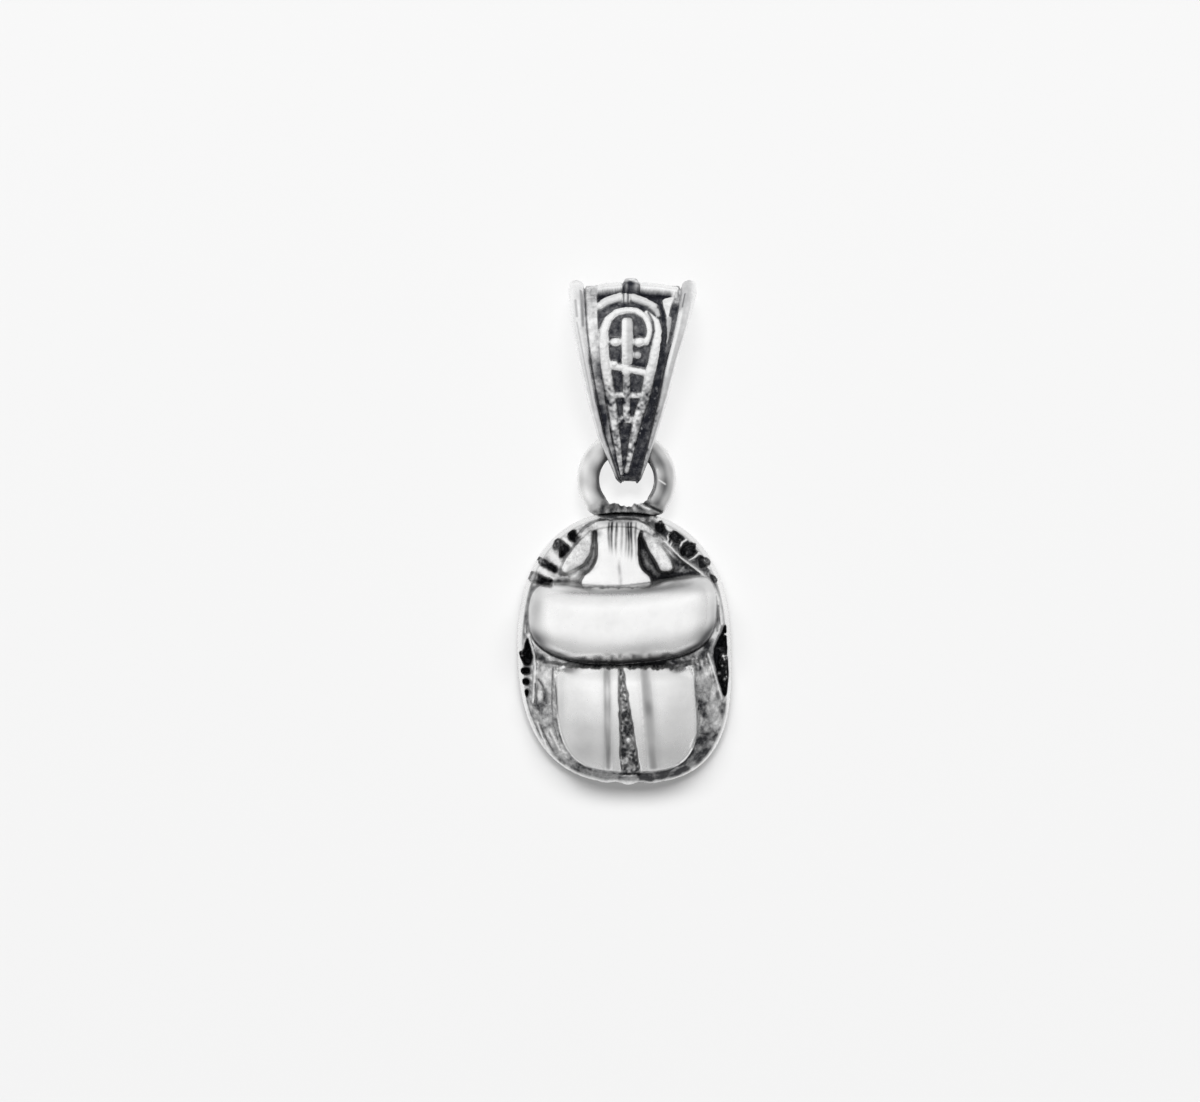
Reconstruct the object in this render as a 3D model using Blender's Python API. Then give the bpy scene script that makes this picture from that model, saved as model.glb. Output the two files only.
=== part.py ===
"""Scarab amulet: a cast silver scarab with a soldered ring and a tapered folded bail.

It lies on its flat back with the head towards +Y. Sizes are in millimetres and MM turns
them into metres. The scarab's middle is over the origin and its back is at z = 0.
"""
import math

import bmesh
import bpy
import numpy as np
from mathutils import Vector
from mathutils.geometry import delaunay_2d_cdt

MM = 0.001

# Plan of the scarab: half a superellipse to the front and half to the rear.
HALF_WIDTH = 7.13
FRONT_LENGTH = 9.13
FRONT_POWER = 2.3
REAR_LENGTH = 8.97
REAR_POWER = 2.65
REAR_DRIFT = 0.55
DRIFT_POWER = 1.3
REAR_WAVE = 0.10
REAR_WAVE_PITCH = 1.67
REAR_WAVE_REACH = 1.6
REAR_CUSP_X = 0.27
OUTLINE_STEPS = 116

# Heights on the scarab.
BACK_BEVEL = 0.15
RIM_TOP = 1.35
RIM_WIDTH = 0.2
FLOOR = 0.75
SLOPE_POWER = 0.8
CORE_LEVELS = ((-9.0, 2.9), (-6.5, 3.5), (-1.5, 4.25), (0.5, 3.3), (3.0, 3.1), (5.0, 2.45), (9.0, 2.3))

# Head plate and side lobes, each outline a smooth closed line through these corners.
HEAD_CORNERS = ((-1.85, 8.5), (-1.85, 7.4), (-1.85, 6.1), (-2.2, 5.35), (-2.8, 4.8), (-2.75, 4.25),
                (-1.9, 4.18), (0.9, 4.18), (1.75, 4.25), (1.75, 4.85), (1.2, 5.4), (1.0, 6.2),
                (1.0, 7.4), (1.35, 8.5), (0.6, 8.62), (-1.1, 8.62))
HEAD_REAR_Y = 4.2
HEAD_LENGTH = 4.3
HEAD_FRONT_TOP = 2.75
HEAD_REAR_TOP = 3.85
HEAD_CENTRE_X = -0.4
HEAD_CROWN = 0.04
FLUTES = 8
FLUTE_CENTRE_X = -0.08
FLUTE_PITCH = 0.27
FLUTE_HALF_WIDTH = 0.08
FLUTE_DEPTH = 0.12
FLUTE_ENDS = (8.4, 6.1)
LEFT_LOBE_CORNERS = ((-2.13, 7.8), (-2.6, 7.55), (-3.45, 6.65), (-4.15, 5.7), (-4.1, 5.1),
                     (-3.6, 5.05), (-2.8, 5.55), (-2.3, 6.15), (-2.13, 6.9))
RIGHT_LOBE_CORNERS = ((1.22, 7.85), (1.65, 7.7), (2.4, 7.0), (3.1, 5.95), (3.3, 5.4), (2.95, 5.1),
                      (2.4, 5.15), (2.05, 5.75), (1.55, 6.65), (1.22, 7.4))
LOBE_TOP = 3.15
LOBE_CROWN = 0.25
LOBE_HALF = 0.5

# Pronotum: a bean whose ends bend towards the head.
PRONOTUM_CENTRE = (-0.1, 1.69)
PRONOTUM_HALF = (6.25, 2.62)
PRONOTUM_BEND = 0.0233
PRONOTUM_SLANT = 0.057
PRONOTUM_LEFT_EASE = 0.2
PRONOTUM_POWERS = (7.0, 2.5)
PRONOTUM_ROUNDING = 2.5
PRONOTUM_FRONT_EDGE = 3.15
PRONOTUM_REAR_EDGE = 3.9
PRONOTUM_TOP = 5.65
PRONOTUM_CROWN_POWER = 2.4
PRONOTUM_STEPS = 70
PRONOTUM_ROUNDS = ((0.96, 66), (0.89, 60), (0.78, 54), (0.63, 44), (0.46, 32), (0.26, 20))

# Wing cases: straight in front, half a superellipse behind.
WING_FRONT = -1.1
WING_BEND_Y = -3.2
WING_HALF_WIDTH = 4.62
WING_REAR = 4.95
WING_LENGTH = WING_REAR + WING_FRONT - WING_BEND_Y
WING_POWER = 3.2
WING_TOP = 6.2
WING_ROLL = 0.24
WING_ROLL_DROP = 1.0
WING_DROP = 2.6
WING_DROP_POWER = 2.2
WING_CROSS_DROP = 1.7
WING_CROSS_POWER = 2.3
WING_ROWS = 17
WING_PANEL_SHARES = (0.2, 0.4, 0.6, 0.8, 0.94)

# Lines that run down the wing cases: x at the front and x at the rear end.
SUTURE_LEFT = (-0.36, -0.22)
SUTURE_RIGHT = (-0.12, 1.1)
RIDGE_LEFT = (-0.87, -0.75)
RIDGE_RIGHT = (1.0, 1.5)
GROOVE_LEFT = (-1.4, -1.3)
GROOVE_RIGHT = (1.75, 2.4)
SUTURE_DEPTH = 0.75
GROOVE_DEPTH = 0.22

# Slots on the left and round pits on the right of the front border: angle from the head's
# direction, distance in from the edge, half width along the edge and half length.
LEFT_SLOTS = ((-24.5, 0.75, 0.3, 0.38), (-32.5, 0.78, 0.37, 0.48), (-43.5, 0.8, 0.18, 0.7),
              (-50.5, 0.75, 0.27, 0.74))
RIGHT_PITS = ((17.0, 0.78, 0.32, 0.42), (25.8, 0.75, 0.4, 0.4), (34.4, 0.78, 0.47, 0.47),
              (43.4, 0.55, 0.4, 0.27), (51.8, 0.45, 0.36, 0.18))

# Deep crescents behind the pronotum's ends.
LEFT_CAVITY = ((-6.35, 1.1), (-6.85, 0.0), (-6.88, -1.1), (-6.7, -2.2), (-6.45, -3.2),
               (-6.15, -2.6), (-5.98, -1.2), (-6.05, 0.2))
RIGHT_CAVITY = ((6.62, 1.9), (6.84, 0.6), (6.86, -1.1), (6.8, -2.6), (6.6, -3.2),
                (6.35, -2.5), (5.95, -1.0), (5.9, 0.2), (6.2, 1.2))

# Solder between the ring and the front edge.
SOLDER_CENTRE = (0.17, 9.25)
SOLDER_HALF = (2.35, 0.95)
SOLDER_TOP = 2.6
SOLDER_STEPS = 28

# How the relief's mesh is laid out.
WALL_HALF = 0.03
EDGE_CLEARANCE = 0.1
WING_LINE_CLEARANCE = 0.09
FILL_PITCH = 0.52
FILL_FROM_EDGE = 0.35
FILL_FROM_LINES = 0.2
FINE_STEPS = 240
WELD = 1e-4

# Ring: a wire circle that stands off the scarab's back and is flattened where it is soldered.
RING_CENTRE = (0.17, 11.27, 1.9)
RING_RADIUS = 2.56
WIRE_RADIUS = 0.745
RING_SEGMENTS = 44
WIRE_SEGMENTS = 14
SOLDER_GAP = 0.05
CUTTER_HEIGHTS = (-1.0, 6.0)

# Bail: half depth of the outer face and of the hole, against the height above the tip.
BAIL_LENGTH = 13.6
BAIL_DEPTH = 3.45
BAIL_PINCH = 0.442
BAIL_BLUNT = 8.0
HOLE_START = 1.1
HOLE_END = 12.3
HOLE_DEPTH = 1.96
HOLE_PINCH = 0.29
WIRE_HEIGHT = 2.83
GROUND_CLEARANCE = 0.01
STEEPEST_TILT = math.radians(20)
BAIL_STATIONS = 34
SLOPE_STEP = 0.02

# Left and right edges of the bail: height above the tip and x.
BAIL_LEFT = ((0.0, -0.45), (0.35, -0.75), (1.2, -1.05), (3.3, -1.9), (6.0, -2.65), (8.4, -3.2),
             (10.8, -3.6), (13.6, -3.85))
BAIL_RIGHT = ((0.0, 0.75), (0.35, 1.0), (1.2, 1.3), (3.3, 1.95), (6.0, 2.75), (8.4, 3.35),
              (10.8, 4.05), (13.6, 4.65))

# Cross-section of the bail's leaf: shares of its width, and rises above its ground.
RAIL_WIDTH = 0.12
RAIL_RISE = 0.6
BAND_WIDTH = 0.11
BAND_RISE = 0.22
STEP_SHARE = 0.02
FULL_RISE_WIDTH = 5.0
LEAF_STEPS = ((0.0, 0.0), (0.06, 0.72), (0.5, 1.0), (0.9, 0.66), (1.0, 0.0))

# Raised strokes on the bail's front, each with its radius, its lift off the ground and its
# points as x and height above the tip.
STROKES = (
    ("frame_left", 0.35, 0.0, ((-0.3, 0.9), (-0.74, 3.7), (-1.05, 6.0), (-1.45, 8.1), (-1.6, 10.0),
                               (-1.55, 11.0), (-1.35, 11.5), (-0.95, 11.9), (-0.3, 12.12))),
    ("frame_right", 0.36, 0.0, ((0.0, 1.2), (0.55, 3.8), (0.98, 5.5), (1.35, 7.2), (1.75, 8.3),
                                (1.98, 9.4), (2.05, 10.7), (1.8, 11.5), (1.1, 12.0), (0.1, 12.16))),
    ("post", 0.4, 0.0, ((0.05, 8.1), (0.05, 9.3), (0.05, 10.5), (0.05, 11.7))),
    ("lower_post", 0.27, 0.0, ((-0.04, 4.6), (-0.04, 6.0), (-0.04, 7.6))),
    ("upper_crossbar", 0.27, 0.0, ((-1.1, 8.15), (0.2, 7.9), (1.55, 7.65))),
    ("middle_crossbar", 0.22, 0.0, ((-0.88, 6.12), (0.03, 6.12), (0.93, 6.12))),
    ("foot", 0.2, 0.0, ((-0.5, 4.55), (0.3, 4.55))),
    ("lower_bow_left", 0.3, 0.1, ((-0.15, 12.95), (-0.9, 12.8), (-1.75, 12.4))),
    ("lower_bow_right", 0.3, 0.1, ((0.05, 12.93), (0.75, 12.85), (1.4, 12.55))),
    ("upper_bow_left", 0.38, 0.36, ((0.1, 13.57), (-1.0, 13.55), (-2.15, 13.3))),
    ("upper_bow_right", 0.38, 0.36, ((0.5, 13.57), (1.8, 13.55), (3.05, 13.2))),
)
# Round beads on the front: name, radius, lift off the ground, x and height above the tip.
BEADS = (
    ("bead_left", 0.32, 0.05, -0.77, 9.82),
    ("bead_right", 0.36, 0.05, 0.85, 9.8),
    ("lower_knot", 0.4, 0.05, -0.06, 12.95),
    ("upper_knot", 0.6, 0.3, 0.3, 13.57),
)


def clear_scene():
    for item in list(bpy.data.objects):
        bpy.data.objects.remove(item)


def silver(name, colour, roughness):
    """A plain metal: the part's silver, polished or darkened."""
    material = bpy.data.materials.new(name)
    material.use_nodes = True
    shader = material.node_tree.nodes["Principled BSDF"]
    shader.inputs["Base Color"].default_value = (*colour, 1.0)
    shader.inputs["Roughness"].default_value = roughness
    shader.inputs["Metallic"].default_value = 1.0
    return material


def add_object(name, mesh, material, sharp_angle=32.0):
    """A scene object with one material, smooth except over its sharp edges."""
    thing = bpy.data.objects.new(name, mesh)
    bpy.context.collection.objects.link(thing)
    mesh.materials.clear()
    mesh.materials.append(material)
    mesh.shade_smooth()
    mesh.set_sharp_from_angle(angle=math.radians(sharp_angle))
    return thing


def mesh_from(name, vertices, faces):
    """A mesh in metres from millimetre points, its faces turned outwards."""
    mesh = bpy.data.meshes.new(name)
    mesh.from_pydata([Vector(v) * MM for v in vertices], [], faces)
    work = bmesh.new()
    work.from_mesh(mesh)
    bmesh.ops.recalc_face_normals(work, faces=work.faces)
    work.to_mesh(mesh)
    work.free()
    return mesh


def smooth_loop(corners, per_corner=4):
    """A closed Catmull-Rom line through the corners."""
    points = np.array(corners, dtype=float)
    before = np.roll(points, 1, axis=0)
    after = np.roll(points, -1, axis=0)
    beyond = np.roll(points, -2, axis=0)
    steps = []
    for k in range(per_corner):
        t = k / per_corner
        steps.append(0.5 * (2 * points + (after - before) * t
                            + (2 * before - 5 * points + 4 * after - beyond) * t ** 2
                            + (3 * points - before - 3 * after + beyond) * t ** 3))
    return np.stack(steps, axis=1).reshape(-1, 2)


def offset_loop(loop, distance):
    """The loop moved outwards by a small distance along its normals."""
    tangent = np.roll(loop, -1, axis=0) - np.roll(loop, 1, axis=0)
    tangent /= np.linalg.norm(tangent, axis=1)[:, None]
    normal = np.stack([tangent[:, 1], -tangent[:, 0]], axis=1)
    area = np.sum(loop[:, 0] * np.roll(loop[:, 1], -1) - np.roll(loop[:, 0], -1) * loop[:, 1])
    return loop + normal * distance * np.sign(area)


def depth_inside(loop, x, y):
    """Distance to a closed loop, positive inside it and negative outside."""
    nearest = np.full(x.shape, 1e9)
    inside = np.zeros(x.shape, dtype=bool)
    for (ax, ay), (bx, by) in zip(loop, np.roll(loop, -1, axis=0)):
        dx, dy = bx - ax, by - ay
        along = np.clip(((x - ax) * dx + (y - ay) * dy) / (dx * dx + dy * dy + 1e-12), 0, 1)
        nearest = np.minimum(nearest, np.hypot(x - ax - along * dx, y - ay - along * dy))
        crosses = (ay > y) != (by > y)
        slope = dx / (dy if dy else 1e-12)
        inside ^= crosses & (x < ax + (y - ay) * slope)
    return np.where(inside, nearest, -nearest)


def drift(y):
    """The rear half leans a little to the right."""
    return REAR_DRIFT * np.clip(-y / REAR_LENGTH, 0, 1) ** DRIFT_POWER


def scarab_outline(steps):
    """Plan outline of the casting, with the small wave along its rear edge."""
    turn = 2 * np.pi * np.arange(steps) / steps
    c, s = np.cos(turn), np.sin(turn)
    power = np.where(s >= 0, FRONT_POWER, REAR_POWER)
    length = np.where(s >= 0, FRONT_LENGTH, REAR_LENGTH)
    x = HALF_WIDTH * np.sign(c) * np.abs(c) ** (2 / power)
    y = length * np.sign(s) * np.abs(s) ** (2 / power)
    x = x + drift(y)
    off = x - REAR_CUSP_X
    wave = REAR_WAVE * np.cos(2 * np.pi * off / REAR_WAVE_PITCH) * np.exp(-(off / REAR_WAVE_REACH) ** 2)
    y = y - wave * (y < -REAR_LENGTH / 2)
    return np.stack([x, y], axis=1)


def evenly_spaced(loop, count):
    """The same closed loop with its points at equal steps."""
    around = closed(loop)
    run = np.concatenate([[0], np.cumsum(np.linalg.norm(np.diff(around, axis=0), axis=1))])
    at = run[-1] * np.arange(count) / count
    return np.stack([np.interp(at, run, around[:, 0]), np.interp(at, run, around[:, 1])], axis=1)


def pronotum_half(across, behind):
    """Half length of the pronotum at a place across it, shorter behind its midline on the left."""
    return PRONOTUM_HALF[1] * (1 - PRONOTUM_LEFT_EASE * behind * np.clip(-across, 0, 1) ** 2)


def pronotum_plan(x, y):
    """0 at the middle of the pronotum and 1 on its edge."""
    across = (x - PRONOTUM_CENTRE[0]) / PRONOTUM_HALF[0]
    line = PRONOTUM_CENTRE[1] + PRONOTUM_BEND * x ** 2 + PRONOTUM_SLANT * x
    along = (y - line) / pronotum_half(across, y < line)
    reach = np.abs(across) ** PRONOTUM_POWERS[0] + np.abs(along) ** PRONOTUM_POWERS[1]
    return reach ** (1 / PRONOTUM_ROUNDING)


def pronotum_loop(size, steps):
    """One round of the pronotum in plan, with its points at equal steps."""
    turn = 2 * np.pi * np.arange(FINE_STEPS) / FINE_STEPS
    c, s = np.cos(turn), np.sin(turn)
    reach = size ** PRONOTUM_ROUNDING
    across = np.sign(c) * (reach * c * c) ** (1 / PRONOTUM_POWERS[0])
    along = np.sign(s) * (reach * s * s) ** (1 / PRONOTUM_POWERS[1])
    x = PRONOTUM_CENTRE[0] + PRONOTUM_HALF[0] * across
    line = PRONOTUM_CENTRE[1] + PRONOTUM_BEND * x ** 2 + PRONOTUM_SLANT * x
    return evenly_spaced(np.stack([x, line + pronotum_half(across, s < 0) * along], axis=1), steps)


def wing_loop(rear_steps=44, front_steps=21):
    """Both wing cases together: a straight front edge and a rounded rear."""
    turn = np.pi * np.arange(rear_steps + 1) / rear_steps
    x = WING_HALF_WIDTH * np.sign(np.cos(turn)) * np.abs(np.cos(turn)) ** (2 / WING_POWER)
    y = WING_BEND_Y - WING_REAR * np.sin(turn) ** (2 / WING_POWER)
    rear = np.stack([x + drift(y), y], axis=1)
    across = np.linspace(-WING_HALF_WIDTH, WING_HALF_WIDTH, front_steps + 1)
    front = np.stack([across, np.full(across.shape, WING_FRONT)], axis=1)
    half_way = (WING_FRONT + WING_BEND_Y) / 2
    return np.vstack([rear, [(-WING_HALF_WIDTH, half_way)], front, [(WING_HALF_WIDTH, half_way)]])


def wing_line(ends, y):
    """x of a line that runs down the wing cases, at the height y in the plan."""
    fraction = np.clip((WING_FRONT - y) / WING_LENGTH, 0, 1)
    return ends[0] + (ends[1] - ends[0]) * fraction


def pit_loops():
    """Slots between the left teeth and round pits on the right, along the front border."""
    slot = [(-1, -1), (-1, 1), (1, 1), (1, -1)]
    circle = [(math.cos(a), math.sin(a)) for a in np.arange(12) * math.pi / 6]
    rows = [(slot, *row) for row in LEFT_SLOTS] + [(circle, *row) for row in RIGHT_PITS]
    return [border_shape(*row) for row in rows]


def border_shape(shape, angle, inset, half_width, half_length):
    """A small shape set on the front border, its length square to the edge."""
    halves = np.array([HALF_WIDTH, FRONT_LENGTH])
    ray = np.array([math.sin(math.radians(angle)), math.cos(math.radians(angle))])
    edge = ray * np.sum(np.abs(ray / halves) ** FRONT_POWER) ** (-1 / FRONT_POWER)
    out = np.sign(edge) * np.abs(edge / halves) ** (FRONT_POWER - 1) / halves
    out /= np.linalg.norm(out)
    side = np.array([out[1], -out[0]])
    middle = edge - out * inset
    return np.array([middle + side * u * half_width + out * v * half_length for u, v in shape])


def flute_places():
    """x of each flute on the head plate."""
    return FLUTE_CENTRE_X + FLUTE_PITCH * (np.arange(FLUTES) - (FLUTES - 1) / 2)


def head_top(x, y):
    """The head plate slopes down to the front and is fluted over its front half."""
    along = np.clip((y - HEAD_REAR_Y) / HEAD_LENGTH, 0, 1)
    top = HEAD_REAR_TOP + (HEAD_FRONT_TOP - HEAD_REAR_TOP) * along - HEAD_CROWN * (x - HEAD_CENTRE_X) ** 2
    fluted = (y < FLUTE_ENDS[0]) & (y > FLUTE_ENDS[1])
    for place in flute_places():
        valley = np.clip(1 - np.abs(x - place) / FLUTE_HALF_WIDTH, 0, 1)
        top = top - FLUTE_DEPTH * valley * fluted
    return top


def pronotum_top(x, y):
    plan = np.clip(pronotum_plan(x, y), 0, 1)
    forward = np.clip((y - PRONOTUM_CENTRE[1]) / PRONOTUM_HALF[1], -1, 1) / 2 + 0.5
    edge = PRONOTUM_REAR_EDGE + (PRONOTUM_FRONT_EDGE - PRONOTUM_REAR_EDGE) * forward
    return edge + (PRONOTUM_TOP - edge) * np.sqrt(1 - plan ** PRONOTUM_CROWN_POWER)


def wing_top(x, y):
    """Two wing cases with a groove beside each inner ridge and a deep suture between."""
    back = np.clip((WING_FRONT - y) / WING_LENGTH, 0, 1)
    across = np.abs((x - drift(y)) / WING_HALF_WIDTH)
    top = WING_TOP - WING_DROP * back ** WING_DROP_POWER - WING_CROSS_DROP * across ** WING_CROSS_POWER
    top = top - WING_ROLL_DROP * np.clip(1 - back / WING_ROLL, 0, 1) ** 2
    for inner, outer in ((RIDGE_LEFT, GROOVE_LEFT), (RIDGE_RIGHT, GROOVE_RIGHT)):
        low, high = sorted((wing_line(inner, y), wing_line(outer, y)), key=np.mean)
        place = np.clip((x - low) / (high - low), 0, 1)
        top = top - GROOVE_DEPTH * np.sin(np.pi * place)
    left, right = wing_line(SUTURE_LEFT, y), wing_line(SUTURE_RIGHT, y)
    in_suture = (x > left) & (x < right)
    return np.where(in_suture, top - SUTURE_DEPTH, top)


class Scarab:
    """The relief: a height above the flat back for every point of the plan."""

    def __init__(self):
        self.outline = evenly_spaced(scarab_outline(2 * FINE_STEPS), OUTLINE_STEPS)
        self.head = smooth_loop(HEAD_CORNERS, 2)
        self.lobes = [smooth_loop(LEFT_LOBE_CORNERS, 3), smooth_loop(RIGHT_LOBE_CORNERS, 3)]
        self.pronotum = pronotum_loop(1.0, PRONOTUM_STEPS)
        self.wings = wing_loop()
        self.pits = pit_loops()
        self.cavities = [smooth_loop(LEFT_CAVITY, 3), smooth_loop(RIGHT_CAVITY, 3)]

    def height(self, x, y):
        inset = np.maximum(depth_inside(self.outline, x, y) - RIM_WIDTH, 0)
        forms = [self.head, *self.lobes, self.pronotum, self.wings]
        head_depth, *lobe_depths, pronotum_depth, wing_depth = [depth_inside(form, x, y) for form in forms]
        outside = np.maximum(-np.max([head_depth, *lobe_depths, pronotum_depth, wing_depth], axis=0), 0)
        level = np.interp(y, *zip(*CORE_LEVELS))
        share = inset / (inset + outside + 1e-9)
        top = RIM_TOP + (level - RIM_TOP) * share ** SLOPE_POWER

        top = np.where(head_depth > 0, np.maximum(top, head_top(x, y)), top)
        for depth in lobe_depths:
            lobe = LOBE_TOP + LOBE_CROWN * np.sqrt(np.clip(depth / LOBE_HALF, 0, 1))
            top = np.where(depth > 0, np.maximum(top, lobe), top)
        top = np.where(pronotum_depth > 0, np.maximum(top, pronotum_top(x, y)), top)
        top = np.where(wing_depth > 0, wing_top(x, y), top)
        for loop in (*self.pits, *self.cavities):
            top = np.where(depth_inside(loop, x, y) > 0, FLOOR, top)
        spread = np.hypot((x - SOLDER_CENTRE[0]) / SOLDER_HALF[0], (y - SOLDER_CENTRE[1]) / SOLDER_HALF[1])
        return np.where(spread < 1, np.maximum(top, SOLDER_TOP), top)


def polylines_inside(loops, outline, clearance):
    """The runs of each closed loop that stay clear of the outline."""
    for loop in loops:
        clear = depth_inside(outline, loop[:, 0], loop[:, 1]) > clearance
        if clear.all():
            yield closed(loop)
            continue
        start = int(np.argmin(clear))
        run = []
        for k in range(len(loop) + 1):
            at = (start + k) % len(loop)
            if clear[at]:
                run.append(loop[at])
                continue
            if len(run) > 1:
                yield np.array(run)
            run = []


def scarab_mesh(relief):
    """Triangulates the plan along every form's edge and lifts it to the relief's height."""
    outline = relief.outline
    turn = 2 * np.pi * np.arange(SOLDER_STEPS) / SOLDER_STEPS
    solder = np.stack([SOLDER_CENTRE[0] + SOLDER_HALF[0] * np.cos(turn),
                       SOLDER_CENTRE[1] + SOLDER_HALF[1] * np.sin(turn)], axis=1)
    hollows = [*relief.pits, *relief.cavities]
    loops = []
    for form in (relief.head, *relief.lobes, relief.pronotum, relief.wings, solder, *hollows):
        loops += [offset_loop(form, WALL_HALF), offset_loop(form, -WALL_HALF)]
    lines = list(polylines_inside(loops, outline, EDGE_CLEARANCE))
    lines += wing_lines(relief.wings) + pronotum_lines() + flute_lines()
    lines.append(closed(offset_loop(outline, -RIM_WIDTH)))

    points = [tuple(p) for p in outline]
    edges = [(k, (k + 1) % len(points)) for k in range(len(points))]
    for line in lines:
        first = len(points)
        points += [tuple(p) for p in line]
        edges += [(first + k, first + k + 1) for k in range(len(line) - 1)]
    points += [tuple(p) for p in filling_points(np.array(points), relief)]
    flat, _, triangles, _, _, _ = delaunay_2d_cdt([Vector(p) for p in points], edges, [], 1, WELD)

    plan = np.array([tuple(v) for v in flat])
    top = relief.height(plan[:, 0], plan[:, 1])
    work = bmesh.new()
    lifted = [work.verts.new((x * MM, y * MM, z * MM)) for (x, y), z in zip(plan, top)]
    for triangle in triangles:
        work.faces.new([lifted[k] for k in triangle])
    close_below(work)
    mesh = bpy.data.meshes.new("scarab")
    work.to_mesh(mesh)
    work.free()
    return mesh


def closed(loop):
    return np.vstack([loop, loop[:1]])


def flute_lines():
    """Both edges and the valley of every flute."""
    down = np.linspace(*FLUTE_ENDS, 5)
    return [np.stack([np.full(down.shape, place + side * FLUTE_HALF_WIDTH), down], axis=1)
            for place in flute_places() for side in (-1, 0, 1)]


def wing_lines(wings):
    """Lines down the wing cases: both walls of the suture, ridges, grooves and panels."""
    runs = [(line, side * WALL_HALF) for line in (SUTURE_LEFT, SUTURE_RIGHT) for side in (-1, 1)]
    for ridge, groove, side in ((RIDGE_LEFT, GROOVE_LEFT, -1), (RIDGE_RIGHT, GROOVE_RIGHT, 1)):
        edge = (side * WING_HALF_WIDTH, side * WING_HALF_WIDTH)
        runs += [(ridge, 0), (between(ridge, groove, 0.5), 0), (groove, 0)]
        runs += [(between(groove, edge, share), 0) for share in WING_PANEL_SHARES]
    lines = []
    down = np.linspace(WING_FRONT - EDGE_CLEARANCE, WING_FRONT - WING_LENGTH, WING_ROWS)
    for ends, side in runs:
        line = np.stack([wing_line(ends, down) + side, down], axis=1)
        lines.append(line[depth_inside(wings, line[:, 0], line[:, 1]) > WING_LINE_CLEARANCE])
    return lines


def between(first, second, share):
    """A line that runs part of the way from one to the other."""
    return tuple(a + (b - a) * share for a, b in zip(first, second))


def pronotum_lines():
    """Rounds of the pronotum's dome, each inside the last."""
    return [closed(pronotum_loop(size, steps)) for size, steps in PRONOTUM_ROUNDS]


def filling_points(used, relief):
    """A staggered grid of points between the forms, away from the points already used."""
    rows = []
    for row, y in enumerate(np.arange(-FRONT_LENGTH, FRONT_LENGTH, FILL_PITCH * math.sqrt(3) / 2)):
        x = np.arange(-HALF_WIDTH, HALF_WIDTH, FILL_PITCH) + (row % 2) * FILL_PITCH / 2
        rows.append(np.stack([x, np.full(x.shape, y)], axis=1))
    grid = np.vstack(rows)
    grid = grid[depth_inside(relief.outline, grid[:, 0], grid[:, 1]) > FILL_FROM_EDGE]
    for form in (relief.pronotum, relief.wings):
        grid = grid[depth_inside(form, grid[:, 0], grid[:, 1]) < 0]
    gap = np.min(np.hypot(grid[:, None, 0] - used[None, :, 0], grid[:, None, 1] - used[None, :, 1]), axis=1)
    return grid[gap > FILL_FROM_LINES]


def close_below(work):
    """Drops the border to the back, with a small bevel, and closes it with one flat face."""
    border = [edge for edge in work.edges if edge.is_boundary]
    ring = bmesh.ops.extrude_edge_only(work, edges=border)["geom"]
    low = [part for part in ring if isinstance(part, bmesh.types.BMVert)]
    for vertex in low:
        vertex.co.z = BACK_BEVEL * MM
    edges = [part for part in ring if isinstance(part, bmesh.types.BMEdge)]
    ring = bmesh.ops.extrude_edge_only(work, edges=edges)["geom"]
    shrink = 1 - BACK_BEVEL / HALF_WIDTH
    for part in ring:
        if isinstance(part, bmesh.types.BMVert):
            part.co = (part.co.x * shrink, part.co.y * shrink, 0)
    edges = [part for part in ring if isinstance(part, bmesh.types.BMEdge)]
    bmesh.ops.contextual_create(work, geom=edges)
    bmesh.ops.recalc_face_normals(work, faces=work.faces)


def add_ring(material, outline):
    """A wire circle, cut flat against the scarab's front edge where it is soldered."""
    bpy.ops.mesh.primitive_torus_add(major_radius=RING_RADIUS * MM, minor_radius=WIRE_RADIUS * MM,
                                     major_segments=RING_SEGMENTS, minor_segments=WIRE_SEGMENTS,
                                     location=Vector(RING_CENTRE) * MM)
    ring = bpy.context.object
    ring.name = "ring"
    ring.data.name = "ring"
    ring.data.materials.append(material)
    ring.data.shade_smooth()

    edge = offset_loop(outline, SOLDER_GAP)
    count = len(edge)
    vertices = [(x, y, z) for z in CUTTER_HEIGHTS for x, y in edge]
    faces = [tuple(range(count)), tuple(range(count, 2 * count))]
    faces += [(k, (k + 1) % count, count + (k + 1) % count, count + k) for k in range(count)]
    cutter = bpy.data.objects.new("solder_seat_cutter", mesh_from("solder_seat_cutter", vertices, faces))
    bpy.context.collection.objects.link(cutter)
    cutter.hide_render = True
    cutter.display_type = "WIRE"
    cut = ring.modifiers.new("solder seat", "BOOLEAN")
    cut.object = cutter
    cut.operation = "DIFFERENCE"
    cut.solver = "EXACT"


def bail_half_depth(height):
    """Half depth of the bail's outer face above its tip."""
    part = np.clip(np.asarray(height, dtype=float) / BAIL_LENGTH, 0, 1)
    return BAIL_DEPTH * part ** BAIL_PINCH * np.sqrt(1 - part ** BAIL_BLUNT)


def hole_half_depth(height):
    part = np.clip((np.asarray(height, dtype=float) - HOLE_START) / (HOLE_END - HOLE_START), 0, 1)
    return HOLE_DEPTH * part ** HOLE_PINCH * np.sqrt(1 - part ** BAIL_BLUNT)


def bail_edge(points, height):
    return float(np.interp(height, *zip(*points)))


def rise_scale(height):
    """The relief gets lower where the bail narrows to its tip."""
    return min(1.0, (bail_edge(BAIL_RIGHT, height) - bail_edge(BAIL_LEFT, height)) / FULL_RISE_WIDTH)


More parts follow.
